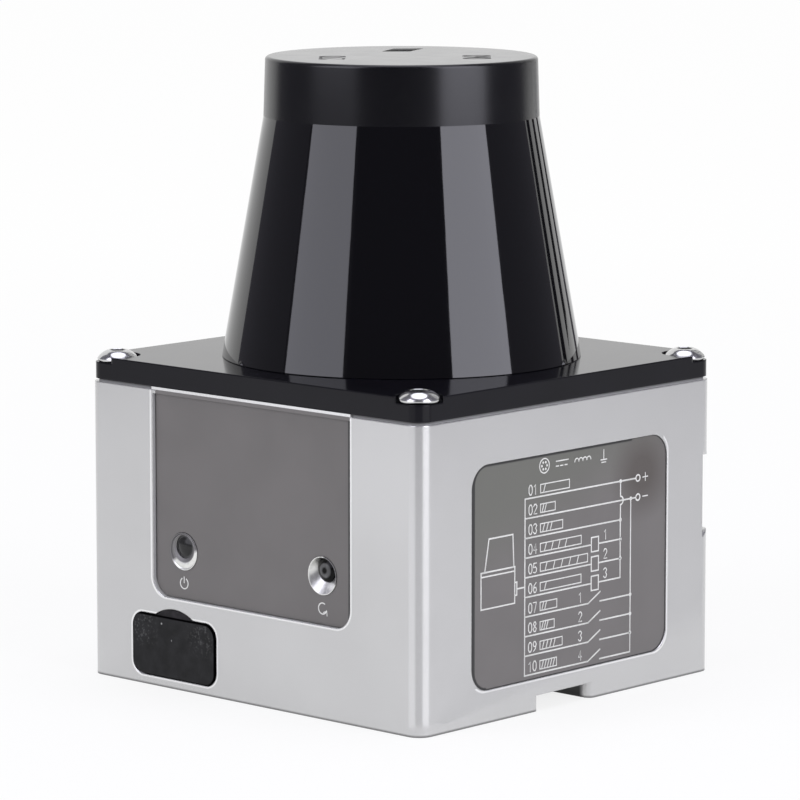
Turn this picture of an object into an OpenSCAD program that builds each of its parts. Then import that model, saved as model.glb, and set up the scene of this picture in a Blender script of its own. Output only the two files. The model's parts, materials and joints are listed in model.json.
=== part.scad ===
// Compact scanning rangefinder: a square metal base, a dark cone hood and a spinning mirror inside.
// Millimetres. The origin is on the scan axis, at the underside of the base, with +Z up.
// -Y is the front with the two indicator lights, +X the side with the wiring plate, +Y the back.

/* [Base] */
// Width of the base, side to side
base_w = 60; // [58:0.5:70]
// Depth of the base, front to back
base_d = 58; // [57:0.5:68]
// Height of the base up to the lid gasket
base_h = 39.7; // [38:0.1:46]
// Radius of the upright outer corners
corner_r = 2; // [1:0.1:2.5]
// Thickness of the front and side walls
wall_t = 3.5; // [3:0.1:4]
// Thickness of the back wall
back_wall_t = 5; // [4.5:0.1:5.5]
// Thickness of the floor
floor_t = 3.7; // [3.2:0.1:4]
// Radius of the upright corners inside
cavity_r = 1.5; // [1:0.1:3]

/* [Fits] */
// Gap round a fixed screw, pin or pressed-in piece
fit = 0.05; // [0.03:0.01:0.1]
// How far the lid screws' threads run on past the screws
thread_spare = 1; // [0.5:0.1:2]

/* [Mounting grooves] */
// Width of the grooves across the underside and the back
groove_w = 10; // [8:0.5:11]
// Depth of the grooves
groove_d = 2.1; // [1.5:0.1:2.4]
// Radius that opens each end of a groove
groove_mouth_r = 1; // [0.5:0.1:1.5]
// Place of the underside groove, front to back
bottom_groove_y = -1.2; // [-4:0.1:4]
// Height of the back groove's centre line
back_groove_z = 24.35; // [24:0.05:28]

/* [Mounting holes] */
// Radius of the tapped mounting holes
bolt_r = 1.5; // [1.25:0.05:1.7]
// Distance of the underside holes from the sides
bolt_side = 8; // [7.5:0.5:9]
// Distance of the underside holes from the front and the back
bolt_end = 9; // [8.5:0.5:11]
// Depth of the underside holes
bolt_depth = 4.8; // [4:0.1:5.2]
// Radius of the bosses around the mounting holes
bolt_boss_r = 3; // [2.5:0.1:3.2]
// Spacing of the two holes in the back groove
back_bolt_span = 30; // [24:1:36]
// Depth of the holes in the back groove
back_bolt_depth = 4.2; // [3.5:0.1:4.6]
// How far the back bosses stand into the base
back_boss_h = 2.6; // [2.2:0.1:3]

/* [Lid] */
// Thickness of the lid gasket
gasket_t = 0.4; // [0.3:0.1:0.8]
// How far the gasket edge is set in from the base
gasket_inset = 0.4; // [0.4:0.1:0.9]
// Thickness of the lid plate
lid_t = 3; // [2.6:0.1:4]
// How far the lid edge is set in from the base
lid_inset = 0.1; // [0.1:0.1:0.6]
// Radius of the opening in the lid under the hood
lid_bore_r = 19; // [18:0.1:19.4]
// Distance of the lid screws from the outer faces
screw_inset = 2.75; // [2.6:0.05:3.2]
// Radius of the corner columns that take the lid screws
boss_r = 3.4; // [3:0.1:3.8]
// Radius of the seats cut for the screw heads
seat_r = 3.05; // [3:0.05:3.2]
// Depth of the seats cut for the screw heads
seat_d = 0.8; // [0.3:0.1:1]

/* [Lid screws] */
// Thread radius of the lid screws
lid_screw_r = 1.5; // [1.25:0.05:1.6]
// Length of the lid screws under the head
lid_screw_len = 10; // [8:0.5:14]
// Radius of the button heads
head_r = 2.7; // [2.5:0.05:2.85]
// Height of the button heads
head_h = 1.65; // [1.4:0.05:2]
// Height of the straight rim under the dome
head_rim_h = 0.45; // [0.3:0.05:0.6]
// Radius of the flat on top of the dome
head_flat_r = 1.4; // [1.3:0.05:1.6]
// Size of the hexagon socket across flats
socket_af = 2; // [1.6:0.1:2.2]
// Depth of the hexagon socket
socket_d = 1; // [0.7:0.1:1.2]

/* [Hood] */
// Outer radius of the hood at the lid
hood_foot_r = 23.95; // [23.8:0.05:26]
// Outer radius where the window cone meets the cap band
hood_mid_r = 18.3; // [18:0.05:20]
// Outer radius at the top
hood_top_r = 18.05; // [17.9:0.05:19.8]
// Height of the window cone
cone_h = 32; // [31:0.5:38]
// Height of the cap band
cap_h = 7.9; // [7:0.1:10]
// Thickness of the hood wall
hood_wall = 2.2; // [1.8:0.1:2.4]
// Thickness of the hood top
hood_top_t = 2.4; // [2:0.1:3]
// Inner radius of the thick foot ring
hood_foot_in_r = 19.6; // [19.4:0.05:19.8]
// Height of the thick foot ring
hood_foot_h = 5; // [4.6:0.1:7]
// Radius of the top edge
hood_edge_r = 0.5; // [0.3:0.1:1]
// Radius of the bottom edge
hood_base_edge_r = 0.8; // [0.4:0.1:1]
// Inner radius of the seal ring under the foot
seal_r = 22.55; // [22.5:0.05:22.6]
// Width of the seal ring
seal_w = 0.5; // [0.3:0.05:0.55]
// Depth of the seal ring's groove in the lid
seal_d = 0.8; // [0.5:0.1:1.2]

/* [Hood screws] */
// Number of hood screws
hood_screw_n = 4; // [4:4:8]
// Thread radius of the hood screws
hood_screw_r = 1.25; // [1:0.05:1.3]
// Radius of the circle that the hood screws sit on
hood_screw_pcr = 21.15; // [21:0.05:21.2]
// How far the hood screws reach into the foot ring
hood_screw_grip = 4; // [3:0.1:4.3]
// Radius of the hood screw heads
hood_head_r = 2.1; // [1.9:0.05:2.2]
// Height of the hood screw heads
hood_head_h = 1.5; // [1.2:0.1:1.8]

/* [Front panel] */
// Width of the front panel
panel_w = 35.6; // [32:0.1:38]
// Height of the panel's lower edge above the underside
panel_z = 12.3; // [11:0.1:14]
// Radius of the panel's lower corners
panel_r = 2.5; // [1:0.1:4]
// Thickness of the panel
panel_t = 0.4; // [0.3:0.05:0.6]
// Depth of the pocket for the panel
panel_pocket_d = 0.9; // [0.7:0.05:1.1]
// Metal left between the pocket and the top of the base
panel_lip = 0.5; // [0.3:0.05:1]
// Gap all round the panel and the wiring plate
plate_gap = 0.1; // [0.1:0.05:0.4]

/* [Wiring plate] */
// Width of the wiring plate, front to back
label_w = 38.6; // [30:0.1:42]
// Height of the wiring plate
label_h = 29; // [24:0.1:31]
// Height of the plate's centre
label_z = 18.9; // [18:0.1:20]
// Corner radius of the wiring plate
label_r = 3; // [1:0.1:5]
// Thickness of the wiring plate
label_t = 0.35; // [0.2:0.05:0.5]
// Depth of the pocket for the wiring plate
label_pocket_d = 0.55; // [0.5:0.05:0.9]

/* [Indicator lights] */
// Spacing of the two indicator lights
led_span = 25.2; // [22:0.1:26]
// Height of the bezels' centres
led_z = 18.6; // [17.6:0.1:19.6]
// Outer radius of a bezel
bezel_r = 2.5; // [2.4:0.05:2.8]
// Length of a bezel
bezel_len = 2.2; // [1.8:0.1:2.6]
// Width of a bezel's flat rim
bezel_rim = 0.12; // [0.08:0.02:0.2]
// How far a bezel stands out of the panel
bezel_proud = 0.1; // [0:0.05:0.2]
// Depth of a bezel's dish
dish_d = 1; // [0.7:0.05:1.3]
// Radius of a light's lens
led_r = 1.5; // [1.3:0.05:1.5]
// How far a lens sits above the bezel's centre
led_lift = 0.65; // [0.3:0.05:0.65]
// How far the lens tip sits behind the panel's face
led_tip_d = 0.8; // [0.6:0.05:1.2]
// Radius of the flange at the foot of a light
led_flange_r = 1.9; // [1.7:0.05:2.1]
// Thickness of that flange
led_flange_t = 0.9; // [0.6:0.05:1.2]

/* [Front board] */
// Width of the board behind the lights
front_board_w = 32; // [30:0.5:36]
// Height of the board behind the lights
front_board_h = 12.5; // [11:0.5:14]
// Height of that board's lower edge
front_board_z = 14.5; // [14:0.1:15]
// How far the pads hold the board off the front wall
front_pad_h = 1.6; // [1.4:0.1:2.4]
// Radius of the pads
front_pad_r = 2.2; // [2:0.1:2.6]
// Spacing of the pads
front_pad_span = 12; // [10:0.5:16]
// Height of the pads
front_pad_z = 24; // [23.8:0.1:24.4]
// Thread radius of the small board screws
small_screw_r = 1; // [0.8:0.05:1.1]
// How far the small board screws reach past the board
small_screw_grip = 2.4; // [1.8:0.1:2.6]
// Head radius of the small board screws
small_head_r = 1.7; // [1.5:0.05:1.8]
// Head height of the small board screws
small_head_h = 1.2; // [1:0.1:1.5]

/* [USB port and cap] */
// Distance of the port from the left face
usb_side = 15.95; // [15.5:0.05:16.5]
// Height of the port's centre
usb_z = 5.45; // [5.3:0.05:5.7]
// Width of the socket shell
usb_w = 7.5; // [7:0.1:8]
// Height of the socket shell
usb_h = 2.64; // [2.4:0.02:2.8]
// Depth of the socket shell
usb_d = 5; // [4.5:0.1:6]
// Wall of the socket shell
usb_wall = 0.25; // [0.2:0.05:0.35]
// Thickness of the contact tongue
tongue_t = 0.7; // [0.5:0.05:0.9]
// Width of the contact tongue
tongue_w = 3.7; // [3.4:0.1:4]
// Width of the opening in the front wall
port_w = 11.4; // [10.6:0.1:11.6]
// Height of the opening in the front wall
port_h = 6.6; // [6:0.1:7]
// Corner radius of the opening
port_r = 1.2; // [0.8:0.1:1.8]
// Width of the rubber cap's raised face
cap_w = 15; // [14.8:0.1:16.4]
// Height of the rubber cap's raised face
cap_plate_h = 7.7; // [7.2:0.05:8.2]
// Corner radius of the raised face
cap_r = 1.6; // [1:0.1:2.2]
// Thickness of the rubber cap at its raised face
cap_t = 1.05; // [0.9:0.05:1.6]
// Width of the flange round the raised face
cap_rim = 0.25; // [0.2:0.05:0.5]
// Depth of the pocket that the cap sits in
cap_pocket_d = 0.8; // [0.75:0.05:1.2]
// Gap round the cap in its pocket
cap_edge_gap = 0.1; // [0.05:0.05:0.2]
// Width of the pull tab on the cap
tab_w = 7; // [5:0.1:9]
// Height of the pull tab
tab_h = 1.05; // [0.7:0.05:1.4]
// Thickness of the pull tab and the flange
tab_t = 0.7; // [0.5:0.05:0.75]
// How far the cap's plug reaches into the opening
plug_d = 1.6; // [1.2:0.1:2.2]
// Gap round the cap's plug and stem
cap_gap = 0.3; // [0.25:0.05:0.4]
// Gap behind the cap's plate
cap_rest_gap = 0.05; // [0.03:0.01:0.1]
// Radius of the stem that keeps the cap on the base
stem_r = 0.6; // [0.5:0.05:0.65]
// Place of the stem from the cap's centre
stem_x = 6.7; // [6.7:0.05:6.8]
// Radius of the bulb at the end of the stem
bulb_r = 1.25; // [1.15:0.05:1.3]
// How far the cap pulls out
cap_travel = 8; // [6:0.5:9]

/* [Main board] */
// Thickness of every circuit board
board_t = 1.6; // [1.2:0.1:1.8]
// Gap between the main board and the walls
board_gap = 1; // [0.8:0.1:1.5]
// How far the main board stops short of the back wall
board_back_gap = 8.5; // [8.4:0.1:10]
// Gap between the main board and the mounting bosses under it
boss_gap = 0.75; // [0.4:0.05:1]
// Distance of the board screws from the board's sides
board_screw_edge = 5; // [4.8:0.1:6]
// Distance of the front board screws from the board's front edge
board_screw_front = 11.5; // [10.5:0.5:12.5]
// Distance of the back board screws from the board's back edge
board_screw_back = 4; // [3.5:0.5:5.5]
// Thread radius of the board screws
board_screw_r = 1.25; // [1:0.05:1.3]
// How far the board screws reach into the floor
board_screw_grip = 2.5; // [2:0.1:2.7]
// Head radius of the board screws
board_head_r = 2.2; // [2:0.05:2.3]
// Head height of the board screws
board_head_h = 1.5; // [1.2:0.1:1.8]
// Outer radius of the spacers under the board
spacer_r = 2.4; // [2.2:0.1:2.6]
// Side of the processor chip
processor_w = 14; // [10:0.5:14]
// Side of the logic chip beside it
array_w = 12; // [8:0.5:12]
// Gap between those two chips
chip_gap = 1.4; // [1:0.1:1.6]
// Distance of those two chips behind the scan axis
chip_back_y = 3.5; // [3:0.1:4]
// Width of the two chips in front
memory_w = 7; // [5:0.5:7]
// Depth of the memory chip
memory_d = 8; // [6:0.5:9]
// Distance of the chips in front from the middle line
chip_front_x = 11.5; // [11:0.1:12]
// Distance of the chips in front from the scan axis
chip_front_y = 9.5; // [9:0.1:10]
// Thickness of every chip
chip_t = 1.4; // [1:0.1:1.8]
// Height of the ribbon connectors
socket_h = 2.1; // [1.6:0.1:2.6]
// Length of the ribbon connectors
socket_len = 6.4; // [6:0.1:8]
// Depth of the ribbon connectors
socket_depth = 1.7; // [1.4:0.1:2]

/* [Power board] */
// Width of the power board, front to back
power_w = 32; // [28:0.5:36]
// Height of the power board
power_h = 24; // [23.5:0.5:25]
// Depth of the header at its foot
header_d = 2.4; // [2:0.1:2.5]
// Width of that header
header_w = 12; // [8:0.5:14]
// Height of that header
header_h = 2.8; // [2.4:0.1:4]
// Side of the square power inductor
inductor_w = 9; // [7:0.5:10]
// Thickness of the power inductor
inductor_t = 4; // [3:0.1:4.5]
// Radius of the upright capacitors
capacitor_r = 2.5; // [2:0.1:2.8]
// Height of the upright capacitors
capacitor_h = 8; // [6:0.5:9]
// Gap between the power parts
power_gap = 1; // [0.6:0.1:1.4]

/* [Back connector] */
// Height of the connector's axis
plug_z = 10.8; // [10.8:0.05:11]
// Thread radius of the connector
plug_r = 6; // [5.8:0.05:6]
// Gap round the connector in the back wall
plug_gap = 0.15; // [0.1:0.05:0.3]
// Length of the thread behind the flange
plug_len = 8; // [7:0.5:12]
// Radius of the flange
flange_r = 7.8; // [7.7:0.05:7.9]
// Thickness of the flange
flange_t = 2.5; // [2:0.1:3.5]
// Bore radius of the connector shell
shell_bore_r = 4.9; // [4.7:0.05:5]
// How far the shell reaches into the base past the wall
shell_in = 3.6; // [3.2:0.1:4]
// How far the insert sits behind the rim of the thread
insert_set = 5.5; // [4.5:0.1:6]
// How far the insert stands out at the inside
insert_in = 1; // [0.6:0.1:1.2]
// Radius of a contact pin
pin_r = 0.4; // [0.3:0.05:0.45]
// How far the pins stop short of the rim
pin_set = 1; // [0.6:0.1:1.5]
// Radius of the outer ring of pins
pin_ring_r = 3.2; // [3:0.05:3.4]
// Number of pins in the outer ring
pin_ring_n = 9; // [7:1:10]
// Radius of the inner ring of pins
pin_core_r = 1.2; // [1.1:0.05:1.4]
// Number of pins in the inner ring
pin_core_n = 3; // [2:1:3]
// Thickness of the inside nut
nut_t = 2.5; // [2:0.1:3]
// Size of the inside nut across flats
nut_af = 14; // [13.6:0.1:14]
// Width of the sealing ring under the flange
oring_w = 0.9; // [0.7:0.05:1]
// Depth of the sealing ring's groove
oring_d = 0.7; // [0.5:0.05:1]
// Thickness of the small board on the pins
pin_board_t = 1; // [0.8:0.1:1.2]
// Radius of the small board on the pins
pin_board_r = 5.6; // [5.2:0.1:5.8]

/* [Optics frame] */
// Thickness of the frame's flange under the lid
frame_t = 2.5; // [2:0.1:3]
// Radius of that flange
frame_r = 23.4; // [23.3:0.05:23.5]
// Least gap between that flange and the walls
frame_gap = 0.5; // [0.3:0.05:0.6]
// Bore radius of that flange
frame_bore_r = 13; // [12.9:0.05:13.2]
// Thickness of the rear pillar
pillar_t = 1.4; // [1.2:0.1:1.5]
// Gap between the pillar and the inside of the hood top
pillar_gap = 0.55; // [0.4:0.05:0.6]
// Angle that the pillar spans round the scan axis
pillar_span = 60; // [50:2:80]
// Thickness of the motor arm
arm_t = 2.2; // [1.8:0.1:2.6]
// Gap between the motor arm and the hood top
arm_gap = 1.6; // [1.5:0.1:2]
// Width of the flat motor and laser ribbons
ribbon_w = 4.6; // [3:0.1:5]
// Thickness of the ribbons
ribbon_t = 0.2; // [0.15:0.05:0.3]
// Depth of the ribbon's groove down the pillar
ribbon_groove_d = 0.6; // [0.5:0.05:0.65]
// Gap at each side of a ribbon in its slot
ribbon_gap = 0.2; // [0.1:0.05:0.4]

/* [Receiver] */
// Outer radius of the lens barrel
barrel_r = 12.7; // [12.5:0.05:12.8]
// How far the barrel stands above the frame's flange
barrel_up = 1.4; // [1.2:0.1:2]
// Radius of the rim that bolts under the flange
rim_r = 17; // [16.8:0.1:17.5]
// Thickness of that rim
rim_t = 1.5; // [1.2:0.1:2]
// Length of the receiver tube below the flange
tube_len = 16.6; // [15:0.1:18]
// Wall of the receiver tube
tube_wall = 2; // [1.5:0.1:2.4]
// Radius of the tube's foot
foot_r = 8.5; // [8.2:0.1:9]
// Thickness of the tube's foot
foot_t = 1.5; // [1.2:0.1:2]
// Inner radius at the foot
foot_bore_r = 4.4; // [4:0.1:4.6]
// Radius of the receiver lens
lens_r = 10; // [9.8:0.05:10.2]
// Edge thickness of the receiver lens
lens_t = 1.6; // [1.2:0.1:1.8]
// Bulge of the receiver lens
lens_rise = 2.2; // [1.6:0.1:2.6]
// Width of the ledge that the lens sits on
lens_ledge = 1; // [0.8:0.1:1.2]
// Width of the ring that holds the lens
retainer_w = 0.8; // [0.6:0.05:0.9]
// Height of the ring that holds the lens
retainer_h = 1.2; // [0.8:0.1:1.3]
// Radius of the circle that the tube screws sit on
tube_screw_pcr = 15.1; // [15:0.05:15.2]
// How far the tube screws reach into the flange
tube_screw_grip = 1.9; // [1.5:0.1:2]
// Width of the receiver board
receiver_board_w = 26; // [22:0.5:26]
// Depth of the receiver board
receiver_board_d = 22; // [20:0.5:24]
// Distance of the receiver board screws from the axis
receiver_screw_x = 6.6; // [6.5:0.05:6.7]
// How far the receiver board screws reach into the foot
receiver_screw_grip = 1.2; // [0.8:0.1:1.2]
// Radius of the detector can
detector_r = 2.7; // [2.3:0.1:3]
// Height of the detector can
detector_h = 3.2; // [2.5:0.1:4]
// Width of the shield under the receiver board
shield_w = 9; // [7:0.5:9.5]
// Depth of the shield
shield_d = 12; // [9:0.5:13]
// Height of the shield
shield_h = 2.4; // [1.8:0.1:3]
// Thickness of the stacking connector between the boards
stack_d = 2.5; // [2:0.1:3]
// Width of the stacking connector
stack_w = 12; // [9:0.5:14]
// Distance of the stacking connector in front of the axis
stack_y = 9.2; // [9:0.1:9.3]

/* [Transmitter] */
// Outer radius of the transmit tube
transmit_r = 3.4; // [3.2:0.05:3.5]
// Wall of the transmit tube
transmit_wall = 0.55; // [0.4:0.05:0.7]
// Length of the transmit tube
transmit_len = 11.3; // [10:0.1:12]
// How far the transmit tube stands above the barrel
transmit_up = 1.8; // [1:0.1:2.4]
// Edge thickness of the collimator lens
collimator_t = 1.2; // [0.8:0.1:1.6]
// Bulge of the collimator lens
collimator_rise = 0.7; // [0.4:0.1:0.9]
// Thickness of the laser's flange
laser_flange_t = 1.2; // [1:0.1:1.5]
// Radius of the laser can
laser_can_r = 1.8; // [1.5:0.1:2]
// Height of the laser can
laser_can_h = 2.3; // [1.8:0.1:2.8]
// Length of the laser's leads
laser_lead_len = 4; // [3:0.1:5]
// Radius of a laser lead
laser_lead_r = 0.22; // [0.2:0.02:0.3]
// Radius of the circle that the leads sit on
laser_lead_pcr = 1.27; // [1:0.01:1.4]
// Distance of the laser ribbon's drop from the axis
laser_drop_x = 14; // [13.6:0.1:15]

/* [Motor] */
// Radius of the shaft
shaft_r = 1.5; // [1.2:0.05:1.6]
// Running gap between the shaft and the bearings
shaft_gap = 0.03; // [0.02:0.01:0.06]
// Outer radius of the bearings
bearing_r = 3; // [2.8:0.05:3.1]
// Width of a bearing
bearing_w = 2.3; // [2:0.1:2.8]
// Wall of the bearing sleeve
sleeve_wall = 0.5; // [0.4:0.05:0.7]
// Length of the bearing sleeve under the arm
sleeve_len = 8.8; // [8.6:0.1:9]
// Radius of the sleeve's flange
sleeve_flange_r = 6; // [5.8:0.1:6.4]
// Thickness of the sleeve's flange
sleeve_flange_t = 1; // [0.8:0.05:1.2]
// Radius of the circle that the motor screws sit on
motor_screw_pcr = 4.7; // [4.6:0.05:4.8]
// Thread radius of the motor screws
motor_screw_r = 0.8; // [0.6:0.05:0.85]
// Head radius of the motor screws
motor_head_r = 1.4; // [1.2:0.05:1.5]
// Head height of the motor screws
motor_head_h = 0.9; // [0.7:0.05:1.1]
// Outer radius of the stator
stator_r = 8.6; // [8.4:0.05:8.65]
// Height of the stator core
stator_h = 4.2; // [3.6:0.1:4.6]
// Depth of the stator's middle below the arm
stator_drop = 4.9; // [4.7:0.05:5]
// Number of stator teeth
tooth_n = 9; // [6:3:9]
// Width of a stator tooth
tooth_w = 1.4; // [1:0.1:1.5]
// Thickness of the stator's inner ring and tooth tips
stator_ring_t = 1; // [0.8:0.1:1.2]
// Thickness of the wire round a tooth
coil_t = 0.55; // [0.4:0.05:0.6]
// Air gap between the stator and the magnets
air_gap = 0.35; // [0.3:0.05:0.5]
// Thickness of the magnets
magnet_t = 1; // [0.8:0.05:1.1]
// Height of the magnets
magnet_h = 5.2; // [4:0.1:5.6]
// Number of magnets
magnet_n = 12; // [8:2:14]
// Width of the slit between magnets
magnet_slit = 0.4; // [0.3:0.05:0.6]
// Wall of the rotor bell
bell_wall = 1; // [0.8:0.05:1.1]
// Height of the rotor bell
bell_h = 9.2; // [9.1:0.1:9.6]
// Thickness of the bell's end plate
bell_plate_t = 1.2; // [1:0.1:1.4]
// Gap between the bell and the motor arm
bell_gap = 1.6; // [1.4:0.1:1.8]

/* [Mirror and encoder] */
// Radius of the mirror and its holder
mirror_r = 9; // [8.5:0.1:9]
// Thickness of the mirror
mirror_t = 1.2; // [1:0.1:1.6]
// Thickness of the holder at its thin edge
holder_tip = 1.2; // [1:0.1:1.6]
// Wall of the hollow mirror holder
holder_wall = 1.6; // [1.2:0.1:2]
// Outer radius of the encoder disc
disc_r = 12.8; // [12.6:0.05:12.9]
// Inner radius of the encoder disc
disc_in_r = 9.3; // [9.2:0.05:9.4]
// Thickness of the encoder disc
disc_t = 0.4; // [0.3:0.05:0.5]
// Number of slots in the encoder disc
slot_n = 24; // [12:4:36]
// Length of an encoder slot along the radius
slot_len = 0.9; // [0.5:0.1:1]
// Width of an encoder slot
slot_w = 0.7; // [0.4:0.1:0.9]
// How far the slots stop inside the disc's rim
slot_edge = 0.4; // [0.3:0.1:0.6]
// Width of the encoder's fork sensor
fork_w = 6; // [5:0.2:7]
// Thickness of one jaw of the fork
fork_jaw = 1.5; // [1.2:0.1:1.7]
// Gap between the disc and each jaw
fork_gap = 0.6; // [0.5:0.05:0.8]
// How far the jaws reach over the disc
fork_reach = 1.3; // [1:0.1:1.4]

/* [Hidden] */
$fn = 64;

// Overshoot of a cut past the face it opens
cut = 1;

front_y = -base_d / 2;
back_y = base_d / 2;
front_in_y = front_y + wall_t;
back_in_y = back_y - back_wall_t;
cavity_w = base_w - 2 * wall_t;
cavity_d = back_in_y - front_in_y;
cavity_y = (back_in_y + front_in_y) / 2;
screw_x = base_w / 2 - screw_inset;
screw_y = base_d / 2 - screw_inset;

lid_z = base_h + gasket_t;
lid_top = lid_z + lid_t;
hood_h = cone_h + cap_h;
hood_top = lid_top + hood_h;
seat_z = lid_top - seat_d;

pocket_y = front_y + panel_pocket_d;
panel_y = pocket_y - panel_t;
pocket_top = base_h - panel_lip;
panel_h = pocket_top - plate_gap - panel_z;
lens_z = led_z + led_lift;
front_board_y = front_in_y + front_pad_h;
front_board_back = front_board_y + board_t;

usb_x = usb_side - base_w / 2;
board_z = usb_z + usb_h / 2;
board_top = board_z + board_t;
board_w = cavity_w - 2 * board_gap;
board_front = front_in_y + board_gap;
board_back = back_in_y - board_back_gap;
socket_top = board_top + socket_h;
bolt_boss_top = board_z - boss_gap;
bolt_x = base_w / 2 - bolt_side;
bolt_y = base_d / 2 - bolt_end;
board_screw_x = board_w / 2 - board_screw_edge;

power_x = -cavity_w / 2 + board_gap + fit;
power_face = power_x + board_t;

thread_end = back_y + flange_t + plug_len;
shell_y = back_in_y - shell_in;
oring_out = (flange_r + plug_r + plug_gap + oring_w) / 2;
insert_y = shell_y - insert_in;
insert_end = thread_end - insert_set;
pin_board_y = insert_y - pin_board_t;

frame_z = lid_z - frame_t;
pillar_out = hood_top_r - hood_wall - pillar_gap;
pillar_in = pillar_out - pillar_t;
arm_top = hood_top - hood_top_t - arm_gap;
arm_z = arm_top - arm_t;
ribbon_y = pillar_out - ribbon_groove_d;
slot_half = ribbon_w / 2 + ribbon_gap;

barrel_top = lid_z + barrel_up;
rim_z = frame_z - rim_t;
tube_z = frame_z - tube_len;
lens_seat = barrel_top - retainer_h - fit - lens_t;
lens_in_r = lens_r - retainer_w;
receiver_board_z = tube_z - board_t;
transmit_top = barrel_top + transmit_up;
transmit_z = transmit_top - transmit_len;
laser_ribbon_z = transmit_z - laser_lead_len;

bell_top = arm_z - bell_gap;
bell_z = bell_top - bell_h;
stator_z = arm_z - stator_drop - stator_h / 2;
magnet_out = stator_r + air_gap + magnet_t;
bell_r = magnet_out + bell_wall;
disc_z = bell_z - disc_t;
mirror_z = bell_z - holder_tip - mirror_r;
slant = sqrt(2);

// Rounded rectangle centred on the origin
module rounded(w, d, r) {
    square([w - 2 * r, d], center = true);
    square([w, d - 2 * r], center = true);
    for (x = [-1, 1], y = [-1, 1])
        translate([x * (w / 2 - r), y * (d / 2 - r)])
            circle(r);
}

// Four copies, one in each quarter of the plan
module quarters(x, y) {
    for (sx = [-1, 1], sy = [-1, 1])
        translate([sx * x, sy * y])
            children();
}

// Copies spaced evenly on a circle, the first one at the given angle
module on_circle(n, r, start = 0) {
    for (i = [0 : n - 1])
        rotate(start + i * 360 / n)
            translate([r, 0])
                children();
}

// Turns an outline in X and Y to face the front, growing towards -Y from the given depth
module facing_front(y) {
    translate([0, y, 0])
        rotate([90, 0, 0])
            children();
}

// Turns a shape so that its own Z runs along +Y
module towards_back(x, y, z) {
    translate([x, y, z])
        rotate([-90, 0, 0])
            children();
}

// Turns an outline to face +X, its own X along +Y
module facing_side(x, z) {
    translate([x, 0, z])
        rotate([90, 0, 90])
            children();
}

// Flat ring
module ring(r_out, r_in, h) {
    difference() {
        cylinder(r = r_out, h = h);
        translate([0, 0, -cut])
            cylinder(r = r_in, h = h + 2 * cut);
    }
}

// Plain box from a low corner to a high corner
module box(low, high) {
    translate(low)
        cube(high - low);
}

// Pan head screw that points down from z = 0, head above
module pan_screw(r, len, hr, hh) {
    translate([0, 0, -len])
        cylinder(r = r, h = len);
    cylinder(r = hr, h = hh);
}

// Lens with a flat underside and a bulging top
module bulged_lens(r, edge, rise) {
    ball_r = (r * r + rise * rise) / (2 * rise);
    cylinder(r = r, h = edge);
    intersection() {
        translate([0, 0, edge])
            cylinder(r = r, h = rise);
        translate([0, 0, edge + rise - ball_r])
            sphere(ball_r);
    }
}

// Plan of the hollow in the base, clear of the corner columns
module cavity_plan() {
    difference() {
        translate([0, cavity_y])
            rounded(cavity_w, cavity_d, cavity_r);
        quarters(screw_x, screw_y)
            circle(boss_r);
    }
}

// Plan of a groove right across the base, with rounded mouths
module groove_plan() {
    square([base_w + 2 * cut, groove_w], center = true);
    for (s = [0, 180])
        rotate(s)
            translate([base_w / 2 - groove_mouth_r, 0])
                difference() {
                    translate([0, -groove_w / 2 - groove_mouth_r])
                        square([groove_mouth_r + cut, groove_w + 2 * groove_mouth_r]);
                    for (y = [-1, 1])
                        translate([0, y * (groove_w / 2 + groove_mouth_r)])
                            circle(groove_mouth_r);
                }
}

// Outline of the front panel, square at the top and round below, grown on every side
module panel_outline(grow) {
    w = panel_w + 2 * grow;
    h = panel_h + 2 * grow;
    translate([0, panel_z + panel_h / 2]) {
        rounded(w, h, panel_r + grow);
        translate([-w / 2, 0])
            square([w, h / 2]);
    }
}

module base_housing() {
    color("silver")
        difference() {
            union() {
                difference() {
                    linear_extrude(base_h)
                        rounded(base_w, base_d, corner_r);
                    translate([0, 0, floor_t])
                        linear_extrude(base_h)
                            cavity_plan();
                }
                quarters(bolt_x, bolt_y)
                    cylinder(r = bolt_boss_r, h = bolt_boss_top);
                for (x = [-1, 1]) {
                    towards_back(x * back_bolt_span / 2, back_in_y - back_boss_h, back_groove_z)
                        cylinder(r = bolt_boss_r, h = back_boss_h + cut);
                    towards_back(x * front_pad_span / 2, front_in_y - cut, front_pad_z)
                        cylinder(r = front_pad_r, h = front_pad_h + cut);
                }
            }
            base_cuts();
        }
}

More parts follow.
